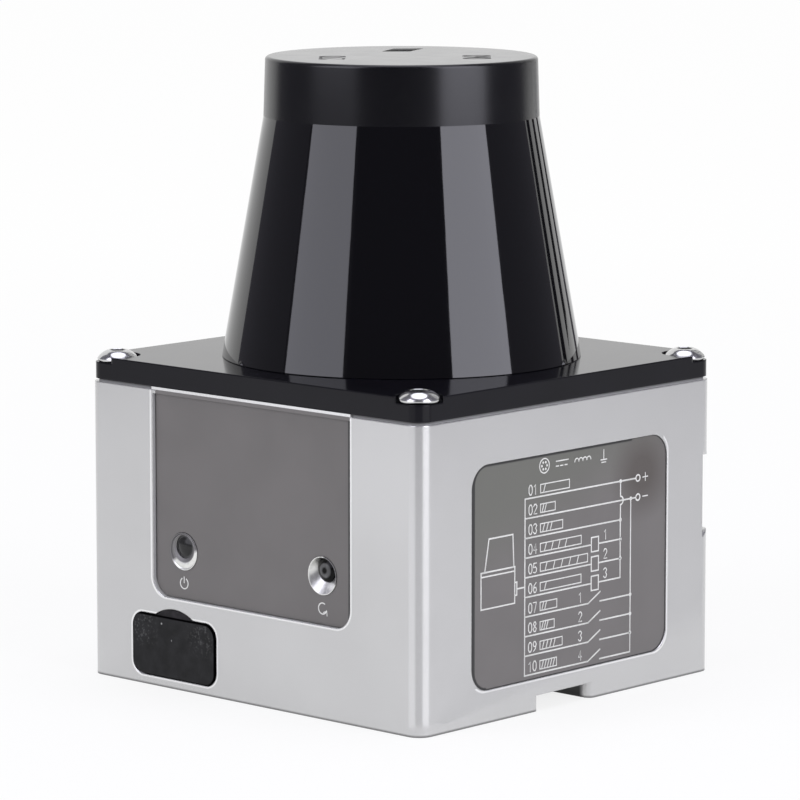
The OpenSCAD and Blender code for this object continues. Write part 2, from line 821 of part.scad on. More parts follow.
// Everything cut into the base from outside, and the threads inside
module base_cuts() {
    translate([0, bottom_groove_y, -cut])
        linear_extrude(groove_d + cut)
            groove_plan();
    towards_back(0, back_y - groove_d, back_groove_z)
        linear_extrude(groove_d + cut)
            groove_plan();
    quarters(bolt_x, bolt_y)
        translate([0, 0, -cut])
            cylinder(r = bolt_r, h = bolt_depth + cut);
    for (x = [-1, 1])
        towards_back(x * back_bolt_span / 2, back_y - groove_d - back_bolt_depth, back_groove_z)
            cylinder(r = bolt_r, h = back_bolt_depth + cut);
    quarters(screw_x, screw_y)
        translate([0, 0, seat_z - lid_screw_len - thread_spare])
            cylinder(r = lid_screw_r + fit, h = base_h);
    facing_front(pocket_y)
        linear_extrude(panel_pocket_d + cut)
            panel_outline(plate_gap);
    facing_side(base_w / 2 - label_pocket_d, label_z)
        linear_extrude(label_pocket_d + cut)
            rounded(label_w + 2 * plate_gap, label_h + 2 * plate_gap, label_r + plate_gap);
    for (x = [-1, 1]) {
        towards_back(x * led_span / 2, front_y, led_z)
            cylinder(r = bezel_r + fit, h = wall_t + cut);
        towards_back(x * front_pad_span / 2, front_board_y - small_screw_grip - fit, front_pad_z)
            cylinder(r = small_screw_r + fit, h = small_screw_grip + cut);
    }
    facing_front(front_y + cap_pocket_d)
        translate([usb_x, usb_z])
            linear_extrude(cap_pocket_d + cut)
                cap_outline(cap_edge_gap);
    towards_back(usb_x, front_y - cut, usb_z)
        linear_extrude(wall_t + 2 * cut)
            rounded(port_w, port_h, port_r);
    towards_back(usb_x + stem_x, front_y - cut, usb_z)
        cylinder(r = stem_r + cap_gap, h = wall_t + 2 * cut);
    at_board_screws(floor_t - board_screw_grip - fit)
        cylinder(r = board_screw_r + fit, h = board_screw_grip + cut);
    towards_back(0, back_in_y - cut, plug_z)
        cylinder(r = plug_r + plug_gap, h = back_wall_t + 2 * cut);
}

module lid_gasket() {
    color("dimgray")
        translate([0, 0, base_h])
            linear_extrude(gasket_t)
                difference() {
                    rounded(base_w - 2 * gasket_inset, base_d - 2 * gasket_inset, corner_r);
                    cavity_plan();
                    quarters(screw_x, screw_y)
                        circle(lid_screw_r + fit);
                }
}

module lid_plate() {
    color([0.17, 0.17, 0.18])
        difference() {
            translate([0, 0, lid_z])
                linear_extrude(lid_t)
                    rounded(base_w - 2 * lid_inset, base_d - 2 * lid_inset, corner_r);
            translate([0, 0, lid_z - cut])
                cylinder(r = lid_bore_r, h = lid_t + 2 * cut);
            quarters(screw_x, screw_y) {
                translate([0, 0, lid_z - cut])
                    cylinder(r = lid_screw_r + fit, h = lid_t + 2 * cut);
                translate([0, 0, seat_z])
                    cylinder(r = seat_r, h = seat_d + cut);
            }
            at_hood_screws(lid_z - cut)
                cylinder(r = hood_screw_r + fit, h = lid_t + 2 * cut);
            translate([0, 0, lid_top - seal_d])
                ring(seal_r + seal_w, seal_r, seal_d + cut);
        }
}

// Domed screw with a hexagon socket, head underside at z = 0
module button_screw() {
    ball_z = (head_r * head_r + head_rim_h * head_rim_h - head_flat_r * head_flat_r - head_h * head_h)
        / (2 * (head_rim_h - head_h));
    ball_r = sqrt(head_r * head_r + (head_rim_h - ball_z) * (head_rim_h - ball_z));
    difference() {
        intersection() {
            cylinder(r = head_r, h = head_h);
            translate([0, 0, ball_z])
                sphere(ball_r);
        }
        translate([0, 0, head_h - socket_d])
            cylinder(r = socket_af / sqrt(3), h = socket_d + cut, $fn = 6);
    }
    translate([0, 0, -lid_screw_len])
        cylinder(r = lid_screw_r, h = lid_screw_len);
}

module lid_screws() {
    color("gainsboro")
        quarters(screw_x, screw_y)
            translate([0, 0, seat_z])
                button_screw();
}

// Half section of the hood: straight cone, near-upright cap band, thick foot ring
module hood_section() {
    lean = (hood_foot_r - hood_mid_r) / cone_h;
    lean_len = sqrt(1 + lean * lean);
    base_r = hood_foot_r - lean * hood_base_edge_r - hood_base_edge_r * lean_len;
    base_top = hood_base_edge_r * (1 + lean / lean_len);
    draft = (hood_mid_r - hood_top_r) / cap_h;
    draft_len = sqrt(1 + draft * draft);
    edge_r = hood_top_r + draft * hood_edge_r - hood_edge_r * draft_len;
    edge_z = hood_h - hood_edge_r * (1 - draft / draft_len);
    inner_top = hood_h - hood_top_t;
    inner_foot_r = hood_foot_r - lean * hood_foot_h - hood_wall;
    difference() {
        union() {
            difference() {
                polygon([
                    [0, 0], [hood_foot_r, 0], [hood_mid_r, cone_h], [hood_top_r, hood_h], [0, hood_h]
                ]);
                translate([base_r, -cut])
                    square([hood_foot_r, base_top + cut]);
                translate([edge_r, edge_z])
                    square(hood_h);
            }
            translate([base_r, hood_base_edge_r])
                circle(hood_base_edge_r);
            translate([edge_r, hood_h - hood_edge_r])
                circle(hood_edge_r);
        }
        polygon([
            [0, -cut], [hood_foot_in_r, -cut], [hood_foot_in_r, hood_foot_h], [inner_foot_r, hood_foot_h],
            [hood_mid_r - hood_wall, cone_h], [hood_top_r - hood_wall, inner_top], [0, inner_top]
        ]);
    }
}

module scan_hood() {
    color([0.07, 0.07, 0.09])
        difference() {
            translate([0, 0, lid_top])
                rotate_extrude($fn = 128)
                    hood_section();
            at_hood_screws(lid_top - cut)
                cylinder(r = hood_screw_r + fit, h = hood_screw_grip + fit + cut);
        }
}

module hood_seal() {
    color("black")
        translate([0, 0, lid_top - seal_d])
            ring(seal_r + seal_w, seal_r, seal_d);
}

// Places for the screws that clamp the hood, the lid and the optics frame
module at_hood_screws(z) {
    translate([0, 0, z])
        on_circle(hood_screw_n, hood_screw_pcr, 45)
            children();
}

module hood_screws() {
    color("gainsboro")
        at_hood_screws(frame_z)
            mirror([0, 0, 1])
                pan_screw(hood_screw_r, frame_t + lid_t + hood_screw_grip, hood_head_r, hood_head_h);
}

module front_panel() {
    color([0.44, 0.44, 0.44])
        difference() {
            facing_front(pocket_y)
                linear_extrude(panel_t)
                    panel_outline(0);
            for (x = [-1, 1])
                towards_back(x * led_span / 2, front_y - cut, led_z)
                    cylinder(r = bezel_r + fit, h = panel_pocket_d + 2 * cut);
        }
}

module wiring_plate() {
    color([0.45, 0.44, 0.43])
        facing_side(base_w / 2 - label_pocket_d, label_z)
            linear_extrude(label_t)
                rounded(label_w, label_h, label_r);
}

// Bright ring with an off-centre dish that leads to the lens
module led_bezel() {
    towards_back(0, panel_y - bezel_proud, led_z)
        difference() {
            cylinder(r = bezel_r, h = bezel_len);
            hull() {
                translate([0, 0, -fit])
                    cylinder(r = bezel_r - bezel_rim, h = fit, $fn = 48);
                translate([0, -led_lift, dish_d])
                    cylinder(r = led_r + fit, h = fit, $fn = 48);
            }
            translate([0, -led_lift, 0])
                cylinder(r = led_r + fit, h = bezel_len + cut);
        }
}

module led_bezels() {
    color("whitesmoke")
        for (x = [-1, 1])
            translate([x * led_span / 2, 0, 0])
                led_bezel();
}

// One light: round-nosed lens with a flange against the board
module led(x) {
    tip_y = panel_y + led_tip_d;
    towards_back(x, tip_y + led_r, lens_z) {
        cylinder(r = led_r, h = front_board_y - tip_y - led_r);
        sphere(led_r);
    }
    towards_back(x, front_board_y - led_flange_t, lens_z)
        cylinder(r = led_flange_r, h = led_flange_t);
}

module power_led() {
    color([0.2, 0.2, 0.2])
        led(-led_span / 2);
}

module work_led() {
    color([0.15, 0.15, 0.15])
        led(led_span / 2);
}

module front_board() {
    color("darkgreen")
        difference() {
            box([-front_board_w / 2, front_board_y, front_board_z],
                [front_board_w / 2, front_board_back, front_board_z + front_board_h]);
            for (x = [-1, 1])
                towards_back(x * front_pad_span / 2, front_board_y - cut, front_pad_z)
                    cylinder(r = small_screw_r + fit, h = board_t + 2 * cut);
        }
}

module front_board_screws() {
    color("gainsboro")
        for (x = [-1, 1])
            towards_back(x * front_pad_span / 2, front_board_back, front_pad_z)
                pan_screw(small_screw_r, board_t + small_screw_grip, small_head_r, small_head_h);
}

module front_ribbon() {
    color("orange")
        box([-ribbon_w / 2, front_board_back, socket_top],
            [ribbon_w / 2, front_board_back + ribbon_t, lens_z]);
}

// Socket shell and its tongue hang under the main board, open to the front
module usb_socket() {
    color("silver")
        translate([usb_x, board_front, usb_z])
            difference() {
                box([-usb_w / 2, 0, -usb_h / 2], [usb_w / 2, usb_d, usb_h / 2]);
                box([-usb_w / 2 + usb_wall, -cut, -usb_h / 2 + usb_wall],
                    [usb_w / 2 - usb_wall, usb_d - usb_wall, usb_h / 2 - usb_wall]);
            }
}

module usb_tongue() {
    color("black")
        translate([usb_x, board_front, usb_z])
            box([-tongue_w / 2, usb_wall, -tongue_t / 2], [tongue_w / 2, usb_d - usb_wall, tongue_t / 2]);
}

// Outline of the cap's flange with its pull tab, grown on every side
module cap_outline(grow) {
    top = cap_plate_h / 2 + cap_rim;
    tab_r = (tab_w * tab_w / 4 + tab_h * tab_h) / (2 * tab_h);
    edge = cap_rim + grow;
    rounded(cap_w + 2 * edge, cap_plate_h + 2 * edge, cap_r + edge);
    intersection() {
        translate([0, top + tab_h - tab_r])
            circle(tab_r + grow);
        translate([-tab_w / 2 - grow, 0])
            square([tab_w + 2 * grow, top + 2 * tab_h]);
    }
}

// Rubber cap: raised face on a flange with a pull tab, plug, and a stem with a bulb that stops it inside
module usb_cap() {
    stem_len = wall_t - cap_pocket_d + cap_rest_gap + cap_travel + bulb_r + cap_gap;
    color([0.2, 0.2, 0.2])
        translate([usb_x, front_y + cap_pocket_d - cap_rest_gap, usb_z]) {
            facing_front(0)
                linear_extrude(tab_t)
                    cap_outline(0);
            facing_front(0)
                linear_extrude(cap_t)
                    rounded(cap_w, cap_plate_h, cap_r);
            towards_back(0, 0, 0)
                linear_extrude(plug_d + cap_rest_gap)
                    rounded(port_w - 2 * cap_gap, port_h - 2 * cap_gap, port_r);
            towards_back(stem_x, 0, 0) {
                cylinder(r = stem_r, h = stem_len);
                translate([0, 0, stem_len])
                    sphere(bulb_r);
            }
        }
}

// Places for the screws that hold the main board
module at_board_screws(z) {
    for (x = [-1, 1], y = [board_front + board_screw_front, board_back - board_screw_back])
        translate([x * board_screw_x, y, z])
            children();
}

module main_board() {
    color("darkgreen")
        difference() {
            box([-board_w / 2, board_front, board_z], [board_w / 2, board_back, board_top]);
            quarters(screw_x, screw_y)
                translate([0, 0, board_z - cut])
                    cylinder(r = boss_r + board_gap, h = board_t + 2 * cut);
            at_board_screws(board_z - cut)
                cylinder(r = board_screw_r + fit, h = board_t + 2 * cut);
        }
}

// One square or oblong chip on the main board
module chip(x, y, w, d) {
    translate([x - w / 2, y - d / 2, board_top])
        cube([w, d, chip_t]);
}

module main_board_chips() {
    color([0.12, 0.12, 0.13]) {
        chip(-(chip_gap + processor_w) / 2, chip_back_y, processor_w, processor_w);
        chip((chip_gap + array_w) / 2, chip_back_y, array_w, array_w);
        chip(-chip_front_x, -chip_front_y, memory_w, memory_d);
        chip(chip_front_x, -chip_front_y, memory_w, memory_w);
    }
}

// Low plastic sockets that the ribbons drop into
module ribbon_sockets() {
    half = socket_len / 2;
    color("ivory") {
        box([-half, front_board_back + ribbon_t / 2 - socket_depth / 2, board_top],
            [half, front_board_back + ribbon_t / 2 + socket_depth / 2, socket_top]);
        box([-half, ribbon_y + ribbon_t - socket_depth, board_top],
            [half, ribbon_y + ribbon_t, socket_top]);
        box([laser_drop_x + ribbon_t / 2 - socket_depth / 2, -half, board_top],
            [laser_drop_x + ribbon_t / 2 + socket_depth / 2, half, socket_top]);
        box([-half, board_back - 2 * socket_depth, board_z - socket_depth],
            [half, board_back - socket_depth, board_z]);
    }
}

module board_spacers() {
    color("gold")
        at_board_screws(floor_t)
            ring(spacer_r, board_screw_r + fit, board_z - floor_t);
}

module board_screws() {
    color("gainsboro")
        at_board_screws(board_top)
            pan_screw(board_screw_r, board_top - floor_t + board_screw_grip, board_head_r, board_head_h);
}

module power_board() {
    color("darkgreen")
        box([power_x, -power_w / 2, board_top], [power_face, power_w / 2, board_top + power_h]);
}

module power_header() {
    color("black")
        box([power_face, -header_w / 2, board_top],
            [power_face + header_d, header_w / 2, board_top + header_h]);
}

module power_parts() {
    part_z = board_top + power_h / 2;
    color([0.3, 0.3, 0.32])
        box([power_face, -inductor_w, part_z - inductor_w / 2],
            [power_face + inductor_t, 0, part_z + inductor_w / 2]);
    color("steelblue")
        for (y = [1, 2])
            translate([power_face + capacitor_r, y * (2 * capacitor_r + power_gap) - capacitor_r, part_z])
                cylinder(r = capacitor_r, h = capacitor_h, center = true);
}

// Threaded shell with a flange outside the back wall
module connector_shell() {
    color("silver")
        difference() {
            union() {
                towards_back(0, shell_y, plug_z)
                    cylinder(r = plug_r, h = thread_end - shell_y);
                towards_back(0, back_y, plug_z)
                    cylinder(r = flange_r, h = flange_t);
            }
            towards_back(0, shell_y - cut, plug_z)
                cylinder(r = shell_bore_r, h = thread_end - shell_y + 2 * cut);
            towards_back(0, back_y - cut, plug_z)
                ring(oring_out, oring_out - oring_w, oring_d + cut);
        }
}

// Places for the contact pins, seen from inside
module at_pins(y) {
    towards_back(0, y, plug_z) {
        on_circle(pin_ring_n, pin_ring_r)
            children();
        on_circle(pin_core_n, pin_core_r)
            children();
    }
}

module connector_insert() {
    color("black")
        difference() {
            towards_back(0, insert_y, plug_z)
                cylinder(r = shell_bore_r, h = insert_end - insert_y);
            at_pins(insert_y - cut)
                cylinder(r = pin_r, h = insert_end - insert_y + 2 * cut);
        }
}

module connector_pins() {
    color("gold")
        at_pins(pin_board_y)
            cylinder(r = pin_r, h = thread_end - pin_set - pin_board_y);
}

module connector_nut() {
    color("silver")
        difference() {
            towards_back(0, back_in_y - nut_t, plug_z)
                cylinder(r = nut_af / sqrt(3), h = nut_t, $fn = 6);
            towards_back(0, back_in_y - nut_t - cut, plug_z)
                cylinder(r = plug_r + fit, h = nut_t + 2 * cut);
        }
}

module connector_oring() {
    color("black")
        towards_back(0, back_y, plug_z)
            ring(oring_out, oring_out - oring_w, oring_d);
}

module connector_board() {
    color("darkgreen")
        difference() {
            towards_back(0, pin_board_y, plug_z)
                cylinder(r = pin_board_r, h = pin_board_t);
            at_pins(pin_board_y - cut)
                cylinder(r = pin_r, h = pin_board_t + 2 * cut);
        }
}

// Ribbon from the pins' board to the socket under the main board
module connector_ribbon() {
    ribbon_z = board_z - socket_depth / 2;
    color("orange")
        box([-ribbon_w / 2, board_back - socket_depth, ribbon_z - ribbon_t],
            [ribbon_w / 2, pin_board_y, ribbon_z]);
}

// Flange under the lid, curved pillar in the blind sector and the arm that carries the motor
module optics_frame() {
    color([0.25, 0.25, 0.27])
        difference() {
            union() {
                intersection() {
                    translate([0, 0, frame_z])
                        ring(frame_r, frame_bore_r, frame_t);
                    translate([0, cavity_y, frame_z - cut])
                        linear_extrude(frame_t + 2 * cut)
                            rounded(cavity_w - 2 * frame_gap, cavity_d - 2 * frame_gap, cavity_r);
                }
                translate([0, 0, frame_z])
                    rotate(90 - pillar_span / 2)
                        rotate_extrude(angle = pillar_span)
                            translate([pillar_in, 0])
                                square([pillar_t, arm_top - frame_z]);
                translate([0, 0, arm_z])
                    cylinder(r = pillar_out - pillar_t / 2, h = arm_t);
            }
            at_hood_screws(frame_z - cut)
                cylinder(r = hood_screw_r + fit, h = frame_t + 2 * cut);
            at_tube_screws(frame_z - cut)
                cylinder(r = small_screw_r + fit, h = tube_screw_grip + fit + cut);
            box([-slot_half, ribbon_y, frame_z - cut], [slot_half, pillar_out + ribbon_gap, arm_z]);
            box([-slot_half, pillar_in - cut, arm_z - 2 * ribbon_gap - ribbon_t],
                [slot_half, pillar_out + ribbon_gap, arm_z]);
            translate([0, 0, arm_z - cut])
                cylinder(r = shaft_r + 2 * ribbon_gap, h = arm_t + 2 * cut);
            at_motor_screws(arm_z - cut)
                cylinder(r = motor_screw_r + fit, h = arm_t + 2 * cut);
        }
}

// Places for the screws that hold the receiver tube under the flange
module at_tube_screws(z) {
    translate([0, 0, z])
        on_circle(3, tube_screw_pcr, 30)
            children();
}

// Black tube that holds the lens over the detector
module receiver_tube() {
    cone_r = barrel_r - tube_wall;
    seat_r_in = lens_r - lens_ledge;
    foot_top = tube_z + foot_t;
    color([0.1, 0.1, 0.1])
        difference() {
            rotate_extrude()
                polygon([
                    [foot_bore_r, tube_z], [foot_r, tube_z], [foot_r, foot_top],
                    [foot_bore_r + tube_wall, foot_top], [barrel_r, rim_z], [rim_r, rim_z],
                    [rim_r, frame_z], [barrel_r, frame_z], [barrel_r, barrel_top],
                    [lens_r + fit, barrel_top], [lens_r + fit, lens_seat], [seat_r_in, lens_seat],
                    [seat_r_in, rim_z], [foot_bore_r, foot_top]
                ]);
            at_tube_screws(rim_z - cut)
                cylinder(r = small_screw_r + fit, h = rim_t + 2 * cut);
            at_receiver_screws(tube_z - cut)
                cylinder(r = small_screw_r + fit, h = receiver_screw_grip + fit + cut);
            box([-slot_half, ribbon_y, rim_z - cut], [slot_half, rim_r + cut, frame_z + cut]);
            box([0, -slot_half, laser_ribbon_z - ribbon_t - ribbon_gap],
                [cone_r + tube_wall, slot_half, laser_ribbon_z + ribbon_gap]);
        }
}

module tube_screws() {
    color("gainsboro")
        at_tube_screws(rim_z)
            mirror([0, 0, 1])
                pan_screw(small_screw_r, rim_t + tube_screw_grip, small_head_r, small_head_h);
}

module receiver_lens() {
    color([0.6, 0.3, 0.35])
        difference() {
            translate([0, 0, lens_seat]) {
                cylinder(r = lens_r, h = lens_t);
                bulged_lens(lens_in_r - fit, lens_t, lens_rise);
            }
            translate([0, 0, lens_seat - cut])
                cylinder(r = transmit_r + fit, h = lens_t + lens_rise + 2 * cut);
        }
}

module lens_retainer() {
    color("black")
        translate([0, 0, lens_seat + lens_t])
            ring(lens_r, lens_in_r, retainer_h);
}

// Places for the two screws under the receiver board
module at_receiver_screws(z) {
    translate([0, 0, z])
        on_circle(2, receiver_screw_x)
            children();
}

module receiver_board() {
    color("darkgreen")
        difference() {
            box([-receiver_board_w / 2, -receiver_board_d / 2, receiver_board_z],
                [receiver_board_w / 2, receiver_board_d / 2, tube_z]);
            at_receiver_screws(receiver_board_z - cut)
                cylinder(r = small_screw_r + fit, h = board_t + 2 * cut);
        }
}

module receiver_screws() {
    color("gainsboro")
        at_receiver_screws(receiver_board_z)
            mirror([0, 0, 1])
                pan_screw(small_screw_r, board_t + receiver_screw_grip, small_head_r, small_head_h);
}

module receiver_shield() {
    color("silver")
        box([-shield_w / 2, -shield_d / 2, receiver_board_z - shield_h],
            [shield_w / 2, shield_d / 2, receiver_board_z]);
}

module detector() {
    color("gold")
        translate([0, 0, tube_z])
            cylinder(r = detector_r, h = detector_h);
}

module stack_connector() {
    color("black")
        box([-stack_w / 2, -stack_y - stack_d / 2, board_top],
            [stack_w / 2, -stack_y + stack_d / 2, receiver_board_z]);
}

module transmit_tube() {
    color("dimgray")
        translate([0, 0, transmit_z])
            ring(transmit_r, transmit_r - transmit_wall, transmit_len);
}

module collimator_lens() {
    color("lightsteelblue")
        translate([0, 0, transmit_top - collimator_t - collimator_rise])
            bulged_lens(transmit_r - transmit_wall, collimator_t, collimator_rise);
}

module laser_diode() {
    color("gold")
        translate([0, 0, transmit_z]) {
            cylinder(r = transmit_r - transmit_wall, h = laser_flange_t);
            translate([0, 0, laser_flange_t])
                cylinder(r = laser_can_r, h = laser_can_h);
            translate([0, 0, -laser_lead_len])
                on_circle(3, laser_lead_pcr)
                    cylinder(r = laser_lead_r, h = laser_lead_len + laser_flange_t);
        }
}

// Ribbon from the laser's leads out of the tube and down to the main board
module laser_ribbon() {
    lead_edge = laser_lead_pcr + 2 * laser_lead_r;
    color("orange") {
        box([-lead_edge, -ribbon_w / 2, laser_ribbon_z - ribbon_t],
            [laser_drop_x + ribbon_t, ribbon_w / 2, laser_ribbon_z]);
        box([laser_drop_x, -ribbon_w / 2, socket_top],
            [laser_drop_x + ribbon_t, ribbon_w / 2, laser_ribbon_z]);
    }
}

// Places for the three screws that hold the motor to the arm
module at_motor_screws(z) {
    translate([0, 0, z])
        on_circle(3, motor_screw_pcr, 30)
            children();
}

module bearing_sleeve() {
    color("goldenrod")
        difference() {
            union() {
                translate([0, 0, arm_z - sleeve_len])
                    cylinder(r = bearing_r + sleeve_wall, h = sleeve_len);
                translate([0, 0, arm_z - sleeve_flange_t])
                    cylinder(r = sleeve_flange_r, h = sleeve_flange_t);
            }
            translate([0, 0, arm_z - sleeve_len - cut])
                cylinder(r = bearing_r, h = sleeve_len + 2 * cut);
            at_motor_screws(arm_z - sleeve_flange_t - cut)
                cylinder(r = motor_screw_r + fit, h = sleeve_flange_t + 2 * cut);
        }
}

module motor_bearings() {
    color("lightgray")
        for (z = [arm_z - sleeve_len, arm_z - bearing_w])
            translate([0, 0, z])
                ring(bearing_r, shaft_r + shaft_gap, bearing_w);
}

module motor_screws() {
    color("gainsboro")
        at_motor_screws(arm_top)
            pan_screw(motor_screw_r, arm_t + sleeve_flange_t, motor_head_r, motor_head_h);
}

// Inner ring, teeth and tooth tips of the stator
module motor_stator() {
    core_r = bearing_r + sleeve_wall;
    tip_w = 2 * stator_r * sin(180 / tooth_n) - 2 * coil_t - stator_ring_t;
    color([0.35, 0.35, 0.38])
        translate([0, 0, stator_z])
            linear_extrude(stator_h)
                difference() {
                    union() {
                        circle(core_r + stator_ring_t);
                        intersection() {
                            circle(stator_r);
                            on_circle(tooth_n, 0) {
                                translate([0, -tooth_w / 2])
                                    square([stator_r, tooth_w]);
                                translate([stator_r - stator_ring_t, -tip_w / 2])
                                    square([stator_ring_t, tip_w]);
                            }
                        }
                    }
                    circle(core_r);
                }
}

// Copper round each tooth, above, below and beside it
module motor_coils() {
    coil_in = bearing_r + sleeve_wall + 2 * stator_ring_t;
    coil_out = stator_r - stator_ring_t - fit;
    color([0.72, 0.4, 0.2])
        on_circle(tooth_n, 0)
            difference() {
                box([coil_in, -tooth_w / 2 - coil_t, stator_z - coil_t],
                    [coil_out, tooth_w / 2 + coil_t, stator_z + stator_h + coil_t]);
                box([coil_in - cut, -tooth_w / 2, stator_z],
                    [coil_out + cut, tooth_w / 2, stator_z + stator_h]);
            }
}

// Ribbon from the motor along the arm, down the pillar's groove and on to the main board
module motor_ribbon() {
    color("orange") {
        box([-ribbon_w / 2, sleeve_flange_r, arm_z - ribbon_t],
            [ribbon_w / 2, ribbon_y + ribbon_t, arm_z]);
        box([-ribbon_w / 2, ribbon_y, socket_top], [ribbon_w / 2, ribbon_y + ribbon_t, arm_z]);
    }
}

module motor_shaft() {
    color("lightgray")
        translate([0, 0, bell_z])
            cylinder(r = shaft_r, h = arm_top - bell_z);
}

module rotor_bell() {
    color([0.5, 0.5, 0.52])
        difference() {
            translate([0, 0, bell_z])
                cylinder(r = bell_r, h = bell_h);
            translate([0, 0, bell_z + bell_plate_t])
                cylinder(r = magnet_out, h = bell_h);
            translate([0, 0, bell_z - cut])
                cylinder(r = shaft_r, h = bell_plate_t + 2 * cut);
        }
}

module magnet_ring() {
    color([0.3, 0.3, 0.3])
        translate([0, 0, stator_z + stator_h / 2 - magnet_h / 2])
            difference() {
                ring(magnet_out, magnet_out - magnet_t, magnet_h);
                on_circle(magnet_n, 0)
                    box([0, -magnet_slit / 2, -cut], [bell_r, magnet_slit / 2, magnet_h + cut]);
            }
}

module encoder_disc() {
    color([0.2, 0.2, 0.22])
        translate([0, 0, disc_z])
            difference() {
                ring(disc_r, disc_in_r, disc_t);
                on_circle(slot_n, disc_r - slot_edge - slot_len)
                    box([0, -slot_w / 2, -cut], [slot_len, slot_w / 2, disc_t + cut]);
            }
}

// Fork that reads the slots, fixed to the inside of the pillar
module encoder_fork() {
    jaw_low = disc_z - fork_gap;
    jaw_high = disc_z + disc_t + fork_gap;
    tip = disc_r - fork_reach;
    color([0.1, 0.1, 0.1])
        difference() {
            box([-fork_w / 2, tip, jaw_low - fork_jaw],
                [fork_w / 2, pillar_in + pillar_t / 2, jaw_high + fork_jaw]);
            translate([0, 0, jaw_low])
                cylinder(r = disc_r + fork_gap, h = jaw_high - jaw_low);
            translate([0, 0, frame_z])
                ring(pillar_out + cut, pillar_in, hood_top - frame_z);
        }
}

// Space above the slanted mirror face, lifted along Z
module above_slant(lift) {
    translate([0, 0, mirror_z + lift])
        rotate([-45, 0, 0])
            translate([-2 * mirror_r, -2 * mirror_r, 0])
                cube(4 * mirror_r);
}

// Hollow drum under the bell, cut at 45 degrees to carry the mirror
module mirror_holder() {
    drum_low = mirror_z - mirror_r;
    color([0.15, 0.15, 0.16])
        intersection() {
            difference() {
                translate([0, 0, drum_low])
                    cylinder(r = mirror_r, h = bell_z - drum_low);
                translate([0, 0, drum_low - cut])
                    cylinder(r = mirror_r - holder_wall, h = bell_z - drum_low - holder_wall + cut);
            }
            above_slant(0);
        }
}

// Mirror plate under the slanted face
module scan_mirror() {
    drop = mirror_t * slant;
    color("aliceblue")
        intersection() {
            translate([0, 0, mirror_z - mirror_r - drop])
                cylinder(r = mirror_r, h = 2 * mirror_r + drop);
            difference() {
                above_slant(-drop);
                above_slant(0);
            }
        }
}

base_housing();
lid_gasket();
lid_plate();
lid_screws();
scan_hood();
hood_seal();
hood_screws();
front_panel();
wiring_plate();
led_bezels();
power_led();
work_led();
front_board();
front_board_screws();
front_ribbon();
usb_socket();
usb_tongue();
usb_cap();
main_board();
main_board_chips();
ribbon_sockets();
board_spacers();
board_screws();
power_board();
power_header();
power_parts();
connector_shell();
connector_insert();
connector_pins();
connector_nut();
connector_oring();
connector_board();
connector_ribbon();
optics_frame();
receiver_tube();
tube_screws();
receiver_lens();
lens_retainer();
receiver_board();
receiver_screws();
receiver_shield();
detector();
stack_connector();
transmit_tube();
collimator_lens();
laser_diode();
laser_ribbon();
bearing_sleeve();
motor_bearings();
motor_screws();
motor_stator();
motor_coils();
motor_ribbon();
motor_shaft();
rotor_bell();
magnet_ring();
encoder_disc();
encoder_fork();
mirror_holder();
scan_mirror();
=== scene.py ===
import json
import math
import bmesh
import bpy
import numpy as np
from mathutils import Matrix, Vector


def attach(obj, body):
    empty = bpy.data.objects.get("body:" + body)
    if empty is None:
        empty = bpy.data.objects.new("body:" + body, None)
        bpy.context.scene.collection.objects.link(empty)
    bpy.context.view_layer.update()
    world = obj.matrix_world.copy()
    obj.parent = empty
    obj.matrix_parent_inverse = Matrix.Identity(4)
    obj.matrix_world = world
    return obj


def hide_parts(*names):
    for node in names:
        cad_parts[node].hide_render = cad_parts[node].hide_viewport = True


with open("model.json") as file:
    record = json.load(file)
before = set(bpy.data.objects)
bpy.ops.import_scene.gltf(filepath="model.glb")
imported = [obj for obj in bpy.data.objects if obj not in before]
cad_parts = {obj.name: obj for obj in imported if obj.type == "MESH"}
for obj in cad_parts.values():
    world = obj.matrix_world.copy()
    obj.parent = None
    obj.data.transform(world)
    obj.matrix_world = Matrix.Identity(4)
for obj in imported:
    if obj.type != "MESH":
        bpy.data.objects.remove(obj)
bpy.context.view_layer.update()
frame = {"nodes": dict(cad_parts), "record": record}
nodes = frame["nodes"]
mm = 0.001
print("frame loaded:", len(nodes), "nodes")


# camera on a sphere round its aim, shifted a little to frame the object as photographed
viewpoint = {"azimuth": 42.741, "elevation": 7.764, "distance": 0.602433, "aim": (0, 0, 0.045),
             "lens": 203.2, "shiftX": -0.00195, "shiftY": -0.0752}


def placeCamera(azimuth, elevation, distance, aim, lens, shiftX, shiftY):
    turn, lift = math.radians(azimuth), math.radians(elevation)
    away = Vector((math.sin(turn) * math.cos(lift), -math.cos(turn) * math.cos(lift), math.sin(lift)))
    lensData = bpy.data.cameras.new("viewCamera")
    lensData.sensor_width, lensData.lens = 36, lens
    lensData.shift_x, lensData.shift_y = shiftX, shiftY
    lensData.clip_start, lensData.clip_end = 0.01, 50
    camera = bpy.data.objects.new("viewCamera", lensData)
    bpy.context.scene.collection.objects.link(camera)
    camera.location = Vector(aim) + away * distance
    camera.rotation_euler = away.to_track_quat("Z", "Y").to_euler()
    bpy.context.scene.camera = camera


placeCamera(**viewpoint)
bpy.context.scene.view_settings.view_transform = "Standard"
print("camera placed")


